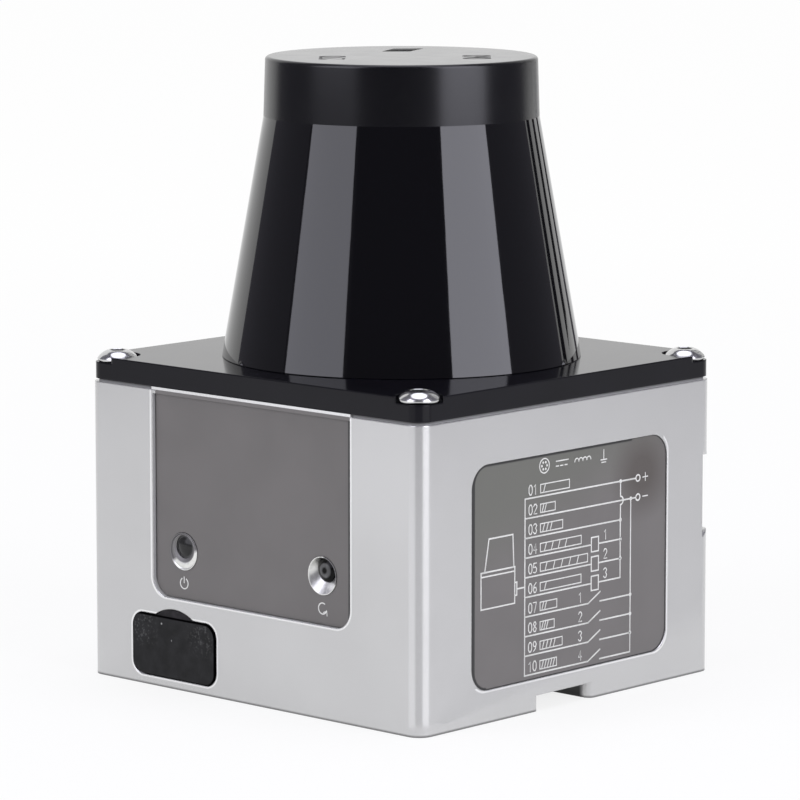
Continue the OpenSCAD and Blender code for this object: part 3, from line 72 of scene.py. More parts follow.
# shader sums: a socket that takes part in Python expressions
class Wire:
    def __init__(self, tree, out):
        self.tree, self.out = tree, out

    # any node: settings first, then values or wires on its sockets
    def node(self, kind, settings=None, sockets=None, out=0):
        made = self.tree.nodes.new("ShaderNode" + kind)
        for key, value in (settings or {}).items():
            setattr(made, key, value)
        for key, value in (sockets or {}).items():
            if isinstance(value, Wire):
                self.tree.links.new(value.out, made.inputs[key])
            else:
                made.inputs[key].default_value = value
        return Wire(self.tree, made.outputs[out])

    def sum(self, operation, a, b=0.0, clamp=False):
        return self.node("Math", {"operation": operation, "use_clamp": clamp}, {0: a, 1: b})

    def __add__(self, other): return self.sum("ADD", self, other)
    def __radd__(self, other): return self.sum("ADD", other, self)
    def __sub__(self, other): return self.sum("SUBTRACT", self, other)
    def __rsub__(self, other): return self.sum("SUBTRACT", other, self)
    def __mul__(self, other): return self.sum("MULTIPLY", self, other)
    def __rmul__(self, other): return self.sum("MULTIPLY", other, self)
    def __truediv__(self, other): return self.sum("DIVIDE", self, other)
    def __pow__(self, other): return self.sum("POWER", self, other)
    def above(self, edge): return self.sum("GREATER_THAN", self, edge)
    def clamped(self): return self.sum("ADD", self, 0.0, clamp=True)
    def ramp(self, low, high): return ((self - low) / (high - low)).clamped()
    def wave(self, length): return self.sum("SINE", self * (2 * math.pi / length))
    def either(self, other): return self.sum("MAXIMUM", self, other)
    def size(self): return self.sum("ABSOLUTE", self)

    # x, y or z of a place
    def part(self, axis):
        return self.node("SeparateXYZ", {}, {0: self}, "XYZ".index(axis))

    # cloudy noise of a given grain, in metres
    def noise(self, grain, detail=2.0, rough=0.5):
        return self.node("TexNoise", {}, {"Vector": self, "Scale": 1 / grain, "Detail": detail, "Roughness": rough})

    # distance to the nearest of scattered points, in grains
    def specks(self, grain):
        return self.node("TexVoronoi", {"feature": "F1"}, {"Vector": self, "Scale": 1 / grain})

    # 1 on scattered specks, only in patches where a broad noise is above a level
    def dust(self, grain, low, high, patch, level):
        return (1 - self.specks(grain).ramp(low, high)) * self.noise(patch, 1).above(level)

    # place stretched along the axes, so that noise turns into brush lines
    def stretched(self, x, y, z):
        return self.node("VectorMath", {"operation": "MULTIPLY"}, {0: self, 1: (x, y, z)})

    # two colours, the second one where the mask is 1
    def tint(self, first, second):
        return self.node("Mix", {"data_type": "RGBA"}, {0: self, 6: first, 7: second}, 2)


def grey(shade, blue=1.0):
    return (shade, shade, shade * blue, 1)


# what a paint gives: colour, roughness, a relief with its depth, and more sockets by name
def looks(colour, rough, relief=None, depth=0.0, **more):
    return {"Base Color": colour, "Roughness": rough, "Relief": (relief, depth) if relief else None, **more}


# a finish: constants on the shader, and wires for what changes over the surface
def makeFinish(name, constants, paint, edge=0.0):
    material = bpy.data.materials.new(name)
    material.use_nodes = True
    tree = material.node_tree
    shader = tree.nodes["Principled BSDF"]
    for key, value in constants.items():
        shader.inputs[key].default_value = value
    place = Wire(tree, tree.nodes.new("ShaderNodeTexCoord").outputs["Object"])
    wires = paint(place)
    relief = wires.pop("Relief")
    softEdge = place.node("Bevel", {"samples": 6}, {"Radius": edge}) if edge else None
    if relief:
        height, depth = relief
        links = {"Height": height, "Strength": 1.0, "Distance": depth}
        if softEdge:
            links["Normal"] = softEdge
        wires["Normal"] = place.node("Bump", {}, links)
    elif softEdge:
        wires["Normal"] = softEdge
    for key, wire in wires.items():
        tree.links.new(wire.out, shader.inputs[key])
    return material


# the five colours after light and dark are painted light and shade: a highlight on the pockets' edges, a shade line at
# the foot, shade on the pocket walls, and shade low and high in the groove
anodised = {"light": grey(0.60), "dark": grey(0.55), "cut": grey(0.86), "foot": grey(0.2), "wall": grey(0.5),
            "grooveShadeDeep": grey(0.008), "grooveShadeHigh": grey(0.12), "blast": 0.00016, "cloud": 0.011, "rough": 0.23, "metal": 0.78,
            "front": -28.94 * mm, "side": 29.94 * mm, "pocket": (18.2 * mm, -28.92 * mm, -27.2 * mm, 11.8 * mm),
            "groove": (29.0 * mm, -6.3 * mm, 3.9 * mm, 2.15 * mm), "lip": (-17.3 * mm, 17.9 * mm, 39.2 * mm),
            # middle, half sizes and corner radius of each pocket's outline
            "panelGlint": (-0.0001, 0.0277, 0.018, 0.0155, 0.0026), "plateGlint": (0, 0.0189, 0.0194, 0.0146, 0.0026),
            "capGlint": (-0.01405, 0.00545, 0.00785, 0.0042, 0.0019)}


# length of two steps at right angles
def reach(a, b):
    return (a * a + b * b) ** 0.5


# distance beyond a rounded rectangle's outline, less than 0 inside it
def plateEdge(across, up, halfW, halfH, r):
    return reach((across.size() - (halfW - r)).either(0), (up.size() - (halfH - r)).either(0)) - r


# 1 on a thin band just outside a pocket's outline, for the painted highlight
def cutBand(across, up, middle, height, halfW, halfH, r):
    away = plateEdge(across - middle, up - height, halfW, halfH, r)
    return away.ramp(-0.00002, 0.00004) * (1 - away.ramp(0.0002, 0.00034))


def paintAnodised(place):
    # bead-blasted skin: fine blast marks, broad faint clouds, and painted shade in a dull line round the foot
    x, y, z = (place.part(axis) for axis in "XYZ")
    blast = place.noise(anodised["blast"], 2)
    cloud = place.noise(anodised["cloud"], 3)
    # painted shade: the skin darkens along the bottom edge
    foot = z.ramp(0.00036, 0.00012)
    skin = (0.55 * cloud + 0.45 * blast).ramp(0.3, 0.7).tint(anodised["dark"], anodised["light"])
    # walls of the panel's pocket painted flat grey for their shade, painted shade in the groove under the base
    wide, front, back, low = anodised["pocket"]
    shadedWalls = y.above(front) * (back - y).above(0) * (wide - x.size()).above(0) * z.above(low)
    long, near, far, deep = anodised["groove"]
    grooveShade = (deep - z).above(0) * y.above(near) * (far - y).above(0) * x.size().ramp(long, long - 0.0008)
    skin = shadedWalls.tint(foot.tint(skin, anodised["foot"]), anodised["wall"])
    # painted highlight: bright lines round the pockets of the panel and the cap, and at the far and lower edge of the
    # plate's
    onFront, onSide = (anodised["front"] - y).above(0), x.above(anodised["side"])
    frontGlint = cutBand(x, z, *anodised["panelGlint"]).either(cutBand(x, z, *anodised["capGlint"]))
    sideGlint = cutBand(y, z, *anodised["plateGlint"]) * y.above(0.0186).either((0.0048 - z).above(0))
    skin = (frontGlint * onFront + sideGlint * onSide).tint(skin, anodised["cut"])
    # the panel's grey runs on over the lip above its pocket
    start, end, low = anodised["lip"]
    film = onFront * z.above(low) * x.above(start) * (end - x).above(0)
    skin = film.tint(skin, plateFinish["light"])
    # painted shade in the groove, darkest low down
    skin = grooveShade.tint(skin, z.ramp(0.0004, 0.0024).tint(anodised["grooveShadeDeep"], anodised["grooveShadeHigh"]))
    rough = anodised["rough"] + 0.05 * (blast + cloud - 1) + 0.3 * grooveShade + 0.17 * film
    return looks(skin, rough, blast, 0.000001, Metallic=anodised["metal"] * (1 - shadedWalls.either(grooveShade).either(film)))


lidFinish = {"dark": (0.0040, 0.0038, 0.0058, 1), "light": (0.0062, 0.0059, 0.0088, 1), "dust": grey(0.10)}


def paintLid(place):
    # semi-gloss black coat with a slight ripple, a little dust
    ripple = place.noise(0.0009, 2)
    cloud = place.noise(0.008, 3)
    dust = place.dust(0.0028, 0.013, 0.028, 0.006, 0.56)
    colour = cloud.ramp(0.3, 0.7).tint(lidFinish["dark"], lidFinish["light"])
    return looks(dust.tint(colour, lidFinish["dust"]), 0.11 + 0.05 * cloud + 0.3 * dust, ripple, 0.000003)


hoodFinish = {"window": (0.0016, 0.0015, 0.0024, 1), "band": (0.0022, 0.0020, 0.0034, 1),
              "top": (0.014, 0.0135, 0.016, 1)}


def paintWindow(place):
    # polished window: faint wiping smears, a grain of dust here and there
    smear = place.stretched(1, 1, 0.3).noise(0.006, 3)
    dust = place.dust(0.0042, 0.008, 0.017, 0.009, 0.6)
    return looks(dust.tint(hoodFinish["window"], grey(0.12)), 0.02 + 0.05 * smear + 0.25 * dust, smear, 0.00001)


def paintBand(place):
    # moulded satin band above the window
    grain = place.noise(0.00012, 2)
    cloud = place.noise(0.006, 2)
    return looks(cloud.ramp(0.3, 0.7).tint(hoodFinish["band"], grey(0.0034, 1.3)),
                 0.19 + 0.06 * grain + 0.04 * cloud, grain, 0.000001)


def paintTop(place):
    # smooth top with faint handling marks
    haze = place.noise(0.004, 3)
    dust = place.dust(0.0023, 0.02, 0.05, 0.005, 0.58)
    return looks(dust.tint(hoodFinish["top"], grey(0.16)), 0.13 + 0.05 * haze + 0.2 * dust)


# line is the colour of the painted shade along the plates' edges
plateFinish = {"dark": (0.128, 0.121, 0.117, 1), "light": (0.150, 0.141, 0.137, 1), "line": grey(0.02),
               "cool": (0.122, 0.126, 0.108, 1), "brownReflection": (0.082, 0.072, 0.066, 1), "brownAt": (0.0145, 0.0098),
               "middle": 0.0189, "edge": (0.0192, 0.01448, 0.0025)}


# colour, roughness and relief of the satin grey film on both plates
def satinFilm(place):
    grain, cloud = place.noise(0.00011, 2), place.noise(0.009, 2)
    colour = (0.6 * cloud + 0.4 * grain).ramp(0.32, 0.68).tint(plateFinish["dark"], plateFinish["light"])
    return looks(colour, 0.36 + 0.1 * grain, grain, 0.000003)


def paintPanel(place):
    # painted shade at both ends, where the plate meets its pocket
    film, x = satinFilm(place), place.part("X")
    endShade = x.ramp(0.01706, 0.01722).either(x.ramp(-0.01762, -0.01774))
    return film | {"Base Color": endShade.tint(film["Base Color"], plateFinish["line"])}


def paintWiringPlate(place):
    # cooler at the upper left, a painted darker brown reflection at the upper right, and painted shade in a dark line
    # along the front and top edges
    film = satinFilm(place)
    y, z = place.part("Y"), place.part("Z") - plateFinish["middle"]
    cool = (z - 0.35 * y).ramp(0.004, 0.013) * 0.75
    brownY, brownZ = plateFinish["brownAt"]
    # painted reflection: a darker brown patch at the upper right
    brownReflection = 1 - reach(y - brownY, z - brownZ).ramp(0.002, 0.0068)
    # painted shade along the front and top edges
    edge = plateEdge(y - 0.00042, z + 0.00002, *plateFinish["edge"]).ramp(-0.00028, -0.00014) * (z - y).above(0.002)
    colour = brownReflection.tint(cool.tint(film["Base Color"], plateFinish["cool"]), plateFinish["brownReflection"])
    return film | {"Base Color": edge.tint(colour, plateFinish["line"])}


# rim is the black of the painted shade round the cap's edges
capFinish = {"dark": (0.0062, 0.0063, 0.0068, 1), "light": (0.016, 0.0162, 0.0172, 1),
             "rim": (0.002, 0.002, 0.0023, 1), "fleck": grey(0.07), "tab": (0.026, 0.023, 0.026, 1),
             "dust": grey(0.42), "middle": -0.0141, "leftEndShade": (-0.02138, -0.0215)}


def paintCap(place):
    # moulded rubber: mottled, scuffed towards the upper corners, a few light specks, and painted shade in black along
    # the edge
    mottle = place.noise(0.0021, 4, 0.6)
    scuff = place.noise(0.00032, 3, 0.6)
    x, high = place.part("X"), place.part("Z").ramp(0.0048, 0.0068)
    fleck = scuff.ramp(0.54, 0.68) * high * (x - capFinish["middle"]).size().ramp(0.0024, 0.0046)
    speck = place.dust(0.0021, 0.05, 0.1, 0.0031, 0.57)
    colour = mottle.ramp(0.36, 0.66).tint(capFinish["dark"], capFinish["light"])
    colour = speck.tint(fleck.tint(colour, capFinish["fleck"]), capFinish["dust"])
    # painted shade: black on the face's side and rounded edge, on the flange, and at the left end
    rim = place.node("Attribute", {"attribute_name": "rim"}, {}, "Fac").either(x.ramp(*capFinish["leftEndShade"]))
    return looks(rim.tint(colour, capFinish["rim"]), 0.6 + 0.2 * (mottle - 0.5) + 0.2 * rim,
                 mottle + 0.3 * scuff + 0.3 * speck, 0.00003, Metallic=rim)


def paintTab(place):
    # the same rubber, smoother
    mottle = place.noise(0.0008, 3)
    return looks(mottle.ramp(0.3, 0.7).tint(capFinish["dark"], capFinish["tab"]),
                 0.55 + 0.15 * mottle, mottle, 0.00001)


def paintBrushed(light, dark, grain, rough):
    # turned or drawn metal: short brush lines
    def paint(place):
        lines = place.stretched(1, 1, 0.12).noise(grain, 2)
        cloud = place.noise(0.004, 2)
        return looks((0.6 * lines + 0.4 * cloud).ramp(0.3, 0.7).tint(dark, light),
                     rough + 0.12 * (lines - 0.5), lines, 0.000002)
    return paint


# the third colour is the grey of the painted shade
bezelPaint = {"bright": grey(0.84, 0.97), "soft": grey(0.74, 0.97), "bezelShade": (0.24, 0.235, 0.235, 1)}
# where the lenses and the bezels stand, in x and z
lights = {"power": (-12.55, 19.2), "work": (12.55, 19.2), "powerBezel": (-12.6, 18.6), "workBezel": (12.6, 18.6)}


# place of a surface point across from and above a light
def fromLight(place, key):
    return [place.part(axis) - at * mm for axis, at in zip("XZ", lights[key])]


def paintBezel(place):
    # spun bright rings, with painted shade on the left one over its top and round its lens, and on the right one's far
    # rim
    lines = place.noise(0.0003, 2)
    side = place.part("X").above(0)
    across, up = fromLight(place, "powerBezel")
    # painted shade: grey where the rings would lie in shade
    powerShade = (0.93 * up - 0.36 * across).ramp(-0.00075, -0.0003)
    powerShade = powerShade.either(1 - reach(*fromLight(place, "power")).ramp(0.00198, 0.00214))
    across, up = fromLight(place, "workBezel")
    workShade = (0.53 * up + 0.85 * across).ramp(0.0014, 0.00165)
    bezelShade = workShade * side + powerShade * (1 - side)
    bright = lines.ramp(0.3, 0.7).tint(bezelPaint["soft"], bezelPaint["bright"])
    return looks(bezelShade.tint(bright, bezelPaint["bezelShade"]), 0.36 + 0.06 * lines + 0.2 * bezelShade, lines, 0.0000004)


def paintMoulded(light, dark, grain, rough):
    # moulded plastic or rubber: fine even texture
    def paint(place):
        texture = place.noise(grain, 2)
        cloud = place.noise(0.005, 2)
        return looks((0.5 * texture + 0.5 * cloud).ramp(0.3, 0.7).tint(dark, light),
                     rough + 0.1 * (texture - 0.5), texture, 0.000008)
    return paint


def paintGasket(place):
    # grey rubber, with painted shade up under the lid
    grain = place.noise(0.0002, 2)
    return looks(place.part("Z").ramp(0.0401, 0.0397).tint(grey(0.04), grey(0.32)), 0.6 + 0.1 * grain)


def paintBoard(place):
    # solder mask over copper tracks: a grid of lines broken up by noise
    runX, runY, runZ = (place.part(axis).wave(0.0013) for axis in "XYZ")
    broken = place.noise(0.003, 1)
    track = (runX * broken.above(0.52)).either(runY * (1 - broken).above(0.52)).either(runZ * broken.above(0.6))
    track = track.ramp(0.55, 0.75)
    return looks(track.tint((0.010, 0.085, 0.035, 1), (0.022, 0.15, 0.06, 1)), 0.34 + 0.1 * broken, track, 0.00003)


def paintRibbon(place):
    # flat flexible circuit: copper lanes under amber film
    lanes = place.part("X").wave(0.0007).ramp(-0.2, 0.2)
    haze = place.noise(0.002, 2)
    return looks(lanes.tint((0.42, 0.15, 0.02, 1), (0.55, 0.24, 0.05, 1)), 0.3 + 0.12 * haze, lanes, 0.00002)


def paintCopper(place):
    # enamelled wire lying in turns round the teeth
    turns = place.part("Z").wave(0.00022).ramp(-1, 1)
    haze = place.noise(0.001, 2)
    return looks((0.7 * turns + 0.3 * haze).tint((0.34, 0.11, 0.03, 1), (0.62, 0.27, 0.10, 1)),
                 0.28 + 0.15 * haze, turns, 0.00004)


def paintClear(light, dark, rough):
    # lens or mirror: nearly even, with the faintest haze
    def paint(place):
        haze = place.noise(0.003, 2)
        return looks(haze.ramp(0.3, 0.7).tint(dark, light), rough + 0.02 * haze)
    return paint


def paintLens(key, core, ring, dark, light):
    # dark lens: a paler ring about its own middle, streaked upright, partly the die seen inside and partly a painted
    # highlight
    def paint(place):
        far = reach(*fromLight(place, key))
        streak = place.stretched(1, 1, 0.25).noise(0.0005, 2)
        pale = far.ramp(core * mm, (core + 0.25) * mm) * (1 - far.ramp(ring * mm, (ring + 0.2) * mm))
        tone = (pale * (0.55 + 0.9 * (streak - 0.3))).clamped()
        return looks(tone.tint(grey(dark), grey(light)), 0.12 + 0.12 * streak)
    return paint


def paintInk(light, dark):
    # screen print: slightly uneven cover
    def paint(place):
        cover = place.noise(0.0004, 2)
        return looks(cover.ramp(0.3, 0.6).tint(dark, light), 0.5 + 0.1 * cover)
    return paint


def specular(level):
    return {"Specular IOR Level": level}


def metal(level):
    return {"Metallic": level}


# the record's material slots, then the finishes of single pieces
finishTable = {
    "anodised_metal": ("anodisedMetal", specular(0.5), paintAnodised, 0.00022),
    "lid_black": ("lidBlack", specular(0.17), paintLid, 0.00026),
    "hood_window": ("hoodWindow", {"IOR": 1.5}, paintWindow),
    "plate_grey": ("panelGrey", specular(0.5), paintPanel, 0.00006),
    "cap_rubber": ("capRubber", specular(0.22), paintCap),
    "bezel_bright": ("bezelBright", metal(1.0), paintBezel, 0.00004),
    "lens_smoke": ("lensSmoke", {"IOR": 1.52, "Coat Weight": 0.6}, paintClear(grey(0.022), grey(0.012), 0.06)),
    "screw_steel": ("screwSteel", metal(1.0), paintBrushed(grey(0.64), grey(0.55), 0.00025, 0.17)),
    "seal_rubber": ("sealRubber", specular(0.3), paintMoulded(grey(0.03), grey(0.018), 0.0002, 0.7)),
    "board_green": ("boardGreen", specular(0.5), paintBoard),
    "black_plastic": ("blackPlastic", specular(0.4), paintMoulded(grey(0.026), grey(0.014), 0.0002, 0.5)),
    "ivory_plastic": ("ivoryPlastic", specular(0.4),
                      paintMoulded((0.74, 0.68, 0.5, 1), (0.66, 0.6, 0.43, 1), 0.0003, 0.5)),
    "ribbon_amber": ("ribbonAmber", specular(0.5), paintRibbon),
    "gold_brass": ("goldBrass", metal(1.0),
                   paintBrushed((0.83, 0.62, 0.27, 1), (0.7, 0.49, 0.19, 1), 0.0002, 0.22)),
    "nickel": ("nickel", metal(1.0),
               paintBrushed((0.66, 0.64, 0.6, 1), (0.52, 0.5, 0.47, 1), 0.0002, 0.26), 0.00006),
    "frame_dark": ("frameDark", metal(0.3), paintMoulded(grey(0.03), grey(0.018), 0.0002, 0.5)),
    "lens_glass": ("lensGlass", {"Transmission Weight": 1.0, "IOR": 1.52},
                   paintClear((0.96, 0.9, 0.94, 1), (0.9, 0.84, 0.9, 1), 0.01)),
    "motor_steel": ("motorSteel", metal(1.0), paintBrushed(grey(0.5), grey(0.36), 0.0003, 0.3)),
    "copper": ("copperWire", metal(0.9), paintCopper),
    "magnet": ("magnetGrey", metal(0.7), paintMoulded(grey(0.1), grey(0.06), 0.0002, 0.45)),
    "mirror": ("frontMirror", metal(1.0), paintClear(grey(0.94), grey(0.9), 0.01)),
    "disc_black": ("discBlack", metal(0.6), paintMoulded(grey(0.05), grey(0.03), 0.0002, 0.35)),
    "power_parts": ("powerParts", metal(0.2),
                    paintMoulded((0.09, 0.1, 0.13, 1), (0.05, 0.06, 0.08, 1), 0.0003, 0.4)),
    "hoodBand": ("bandBlack", {"IOR": 1.43}, paintBand),
    "hoodTop": ("topBlack", {"IOR": 1.33}, paintTop),
    "capTab": ("tabRubber", specular(0.22), paintTab),
    "powerLens": ("powerLens", {"IOR": 1.32}, paintLens("power", 1.25, 1.7, 0.02, 0.2)),
    "workLens": ("workLens", {"IOR": 1.22}, paintLens("work", 0.3, 0.85, 0.001, 0.16)),
    "wiringPlate": ("wiringGrey", specular(0.5), paintWiringPlate, 0.00006),
    "gasket": ("gasketGrey", specular(0.3), paintGasket),
    "cutEdge": ("cutEdge", metal(0.78), paintBrushed(grey(0.82), grey(0.74), 0.00025, 0.23)),
    "whiteInk": ("whiteInk", specular(0.3), paintInk((0.74, 0.74, 0.71, 1), (0.66, 0.66, 0.63, 1))),
    "darkInk": ("darkInk", specular(0.2), paintInk(grey(0.012), grey(0.006))),
}
finishes = {key: makeFinish(*entry) for key, entry in finishTable.items()}
finishOf = {entry["node"]: entry["material_slot"] for entry in frame["record"]["subparts"]}
finishOf |= {"wiring_plate": "wiringPlate", "lid_gasket": "gasket"}
for name, node in nodes.items():
    node.data.materials.clear()
    node.data.materials.append(finishes[finishOf[name]])
print("finishes:", len(finishes))


# a new mesh piece on a body, smooth except across creases; rim is a painted shade for each point, and which
# gives each face's place in the list of materials
def addPiece(name, coords, faces, body, materials, crease=6, rim=None, which=None):
    mesh = bpy.data.meshes.new(name)
    mesh.from_pydata(np.asarray(coords).tolist(), [], np.asarray(faces).tolist())
    if rim is not None:
        mesh.attributes.new("rim", "FLOAT", "POINT").data.foreach_set("value", np.asarray(rim, np.float32))
    if which is not None:
        mesh.polygons.foreach_set("material_index", np.asarray(which, np.int32))
    work = bmesh.new()
    work.from_mesh(mesh)
    bmesh.ops.remove_doubles(work, verts=work.verts, dist=1e-7)
    bmesh.ops.dissolve_degenerate(work, dist=1e-8, edges=work.edges)
    work.to_mesh(mesh)
    work.free()
    for material in materials:
        mesh.materials.append(material)
    mesh.shade_smooth()
    mesh.set_sharp_from_angle(angle=math.radians(crease))
    piece = bpy.data.objects.new(name, mesh)
    bpy.context.scene.collection.objects.link(piece)
    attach(piece, body)
    return piece


# quads of a grid of rows, each row a closed ring
def ringQuads(rows, steps, closed=False):
    row = np.arange(rows if closed else rows - 1)[:, None]
    step = np.arange(steps)[None, :]
    after, below = (step + 1) % steps, (row + 1) % rows
    return np.stack([row * steps + step, row * steps + after, below * steps + after, below * steps + step],
                    -1).reshape(-1, 4)


# points on an arc round a centre, angles in degrees
def arc(centre, radius, start, end, count):
    turn = np.radians(np.linspace(start, end, count))
    return np.stack([centre[0] + radius * np.cos(turn), centre[1] + radius * np.sin(turn)], -1)


# turned shape: profile point (r, h) goes to (r cos t, r sin t, h)
def turned(profile, steps):
    turn = np.linspace(0, 2 * np.pi, steps, endpoint=False)
    r, h = profile[:, :1], profile[:, 1:]
    return np.stack([r * np.cos(turn), r * np.sin(turn), h + 0 * turn], -1).reshape(-1, 3)


hood = {"foot": 23.95, "mid": 18.3, "top": 18.05, "cone": 32.0, "cap": 7.885, "wall": 2.2, "topWall": 2.4,
        "footBore": 19.6, "footHeight": 5.0, "rim": 0.5, "baseEdge": 0.1, "z": 43.1, "steps": 320}


def buildHood(foot, mid, top, cone, cap, wall, topWall, footBore, footHeight, rim, baseEdge, z, steps):
    # profile from the pole on top down the outside and back up the inside
    high = cone + cap
    lean, draft = (foot - mid) / cone, (mid - top) / cap
    leanTurn, draftTurn = math.degrees(math.atan(lean)), math.degrees(math.atan(draft))
    rimR = top + draft * rim - rim * math.hypot(1, draft)
    baseR = foot - lean * baseEdge - baseEdge * math.hypot(1, lean)
    outside = np.concatenate([
        np.stack([np.linspace(0, rimR, 8)[:-1], np.full(7, high)], -1),
        arc((rimR, high - rim), rim, 90, draftTurn, 26),
        [[mid, cone]],
        arc((baseR, baseEdge), baseEdge, leanTurn, -90, 30)])
    inside = np.array([[footBore, 0], [footBore, footHeight], [foot - lean * footHeight - wall, footHeight],
                       [mid - wall, cone], [top - wall, high - topWall], [0, high - topWall]])
    profile = np.concatenate([outside, inside])[::-1]
    coords = turned(profile, steps) + [0, 0, z]
    middle = (profile[1:, 1] + profile[:-1, 1]) / 2
    zone = np.where(middle > cone, 1, 0) + np.where(middle > high - 0.3 * rim, 1, 0)
    materials = [finishes[key] for key in ("hood_window", "hoodBand", "hoodTop")]
    piece = addPiece("hoodShell", coords * mm, ringQuads(len(profile), steps), "base", materials,
                     which=np.repeat(zone, steps))
    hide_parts("scan_hood")


buildHood(**hood)
print("hood turned")


plug = {"z": 10.8, "inner": 20.4, "back": 29.0, "flange": 7.8, "flangeEnd": 31.5, "thread": 6.0, "end": 39.5,
        "bore": 4.9, "pitch": 1.0, "depth": 0.5, "chamfer": 0.35, "steps": 120}


def buildPlugShell(z, inner, back, flange, flangeEnd, thread, end, bore, pitch, depth, chamfer, steps):
    # closed profile along +Y; on the thread the radius drops by a helical zigzag of (h / pitch - t / turn)
    rows = int((end - flangeEnd) / pitch * 12)
    threadH = np.linspace(flangeEnd + 0.02, end - 0.02, rows)
    head = np.array([[bore, inner], [thread, inner], [thread, back], [flange, back], [flange, flangeEnd - chamfer],
                     [flange - chamfer, flangeEnd], [thread - 0.5, flangeEnd]])
    tail = np.array([[bore + 0.5, end], [bore, end - 0.5]])
    profile = np.concatenate([head, np.stack([np.full(rows, thread), threadH], -1), tail])
    turn = np.linspace(0, 2 * np.pi, steps, endpoint=False)
    r, h = (np.repeat(column[:, None], steps, 1) for column in profile.T)
    phase = (h / pitch - turn / (2 * np.pi)) % 1
    fade = np.clip((end - h) / 1.2, 0, 1) * np.clip((h - flangeEnd) / 0.8, 0, 1)
    cutIn = depth * np.clip(1.6 * np.abs(2 * phase - 1) - 0.3, 0, 1)
    onThread = np.zeros_like(r)
    onThread[len(head):len(head) + rows] = 1
    r = r - onThread * (cutIn * fade + depth * (1 - fade))
    coords = np.stack([r * np.cos(turn), h, z - r * np.sin(turn)], -1).reshape(-1, 3)
    piece = addPiece("plugShell", coords * mm, ringQuads(len(profile), steps, True), "base",
                     [finishes["nickel"]], 28)
    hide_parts("connector_shell")


buildPlugShell(**plug)
print("back connector threaded")


cover = {"x": -14.05, "y": -28.25, "z": 5.45, "w": 15.26, "h": 7.96, "t": 1.05, "fillet": 0.16, "crown": 0.02,
         "corners": (1.8, 1.5, 2.15, 1.6), "rim": 0.12, "flange": 0.86, "chamfer": 0.08, "tabW": 7.0, "tabH": 1.05,
         "tabT": 0.69, "plugW": 10.8, "plugH": 6.0, "plugR": 1.2, "plugD": 1.65, "plugEdge": 0.4, "sunk": -0.02,
         "stemX": 6.7, "stemR": 0.6, "bulbR": 1.25, "stemL": 12.3, "pole": 0.001}


# outline of a plate with round corners: width, height, a radius for each corner, drawn inwards by inset
def plateOutline(w, h, corners, inset, count=12):
    signs = ((1, 1), (-1, 1), (-1, -1), (1, -1))
    arcs = []
    for i, ((sx, sy), r) in enumerate(zip(signs, corners)):
        arcs.append(arc((sx * (w / 2 - r), sy * (h / 2 - r)), r - inset, 90 * i, 90 * i + 90, count))
    return np.concatenate(arcs)


# plate made of outlines at growing insets and depths, closed to its middle at both ends
def stackedPlate(w, h, corners, levels):
    rows = []
    for inset, depth, share in levels:
        flat = plateOutline(w, h, corners, inset) * share
        rows.append(np.stack([flat[:, 0], np.full(len(flat), depth), flat[:, 1]], -1))
    return np.concatenate(rows), ringQuads(len(rows), len(rows[0]))


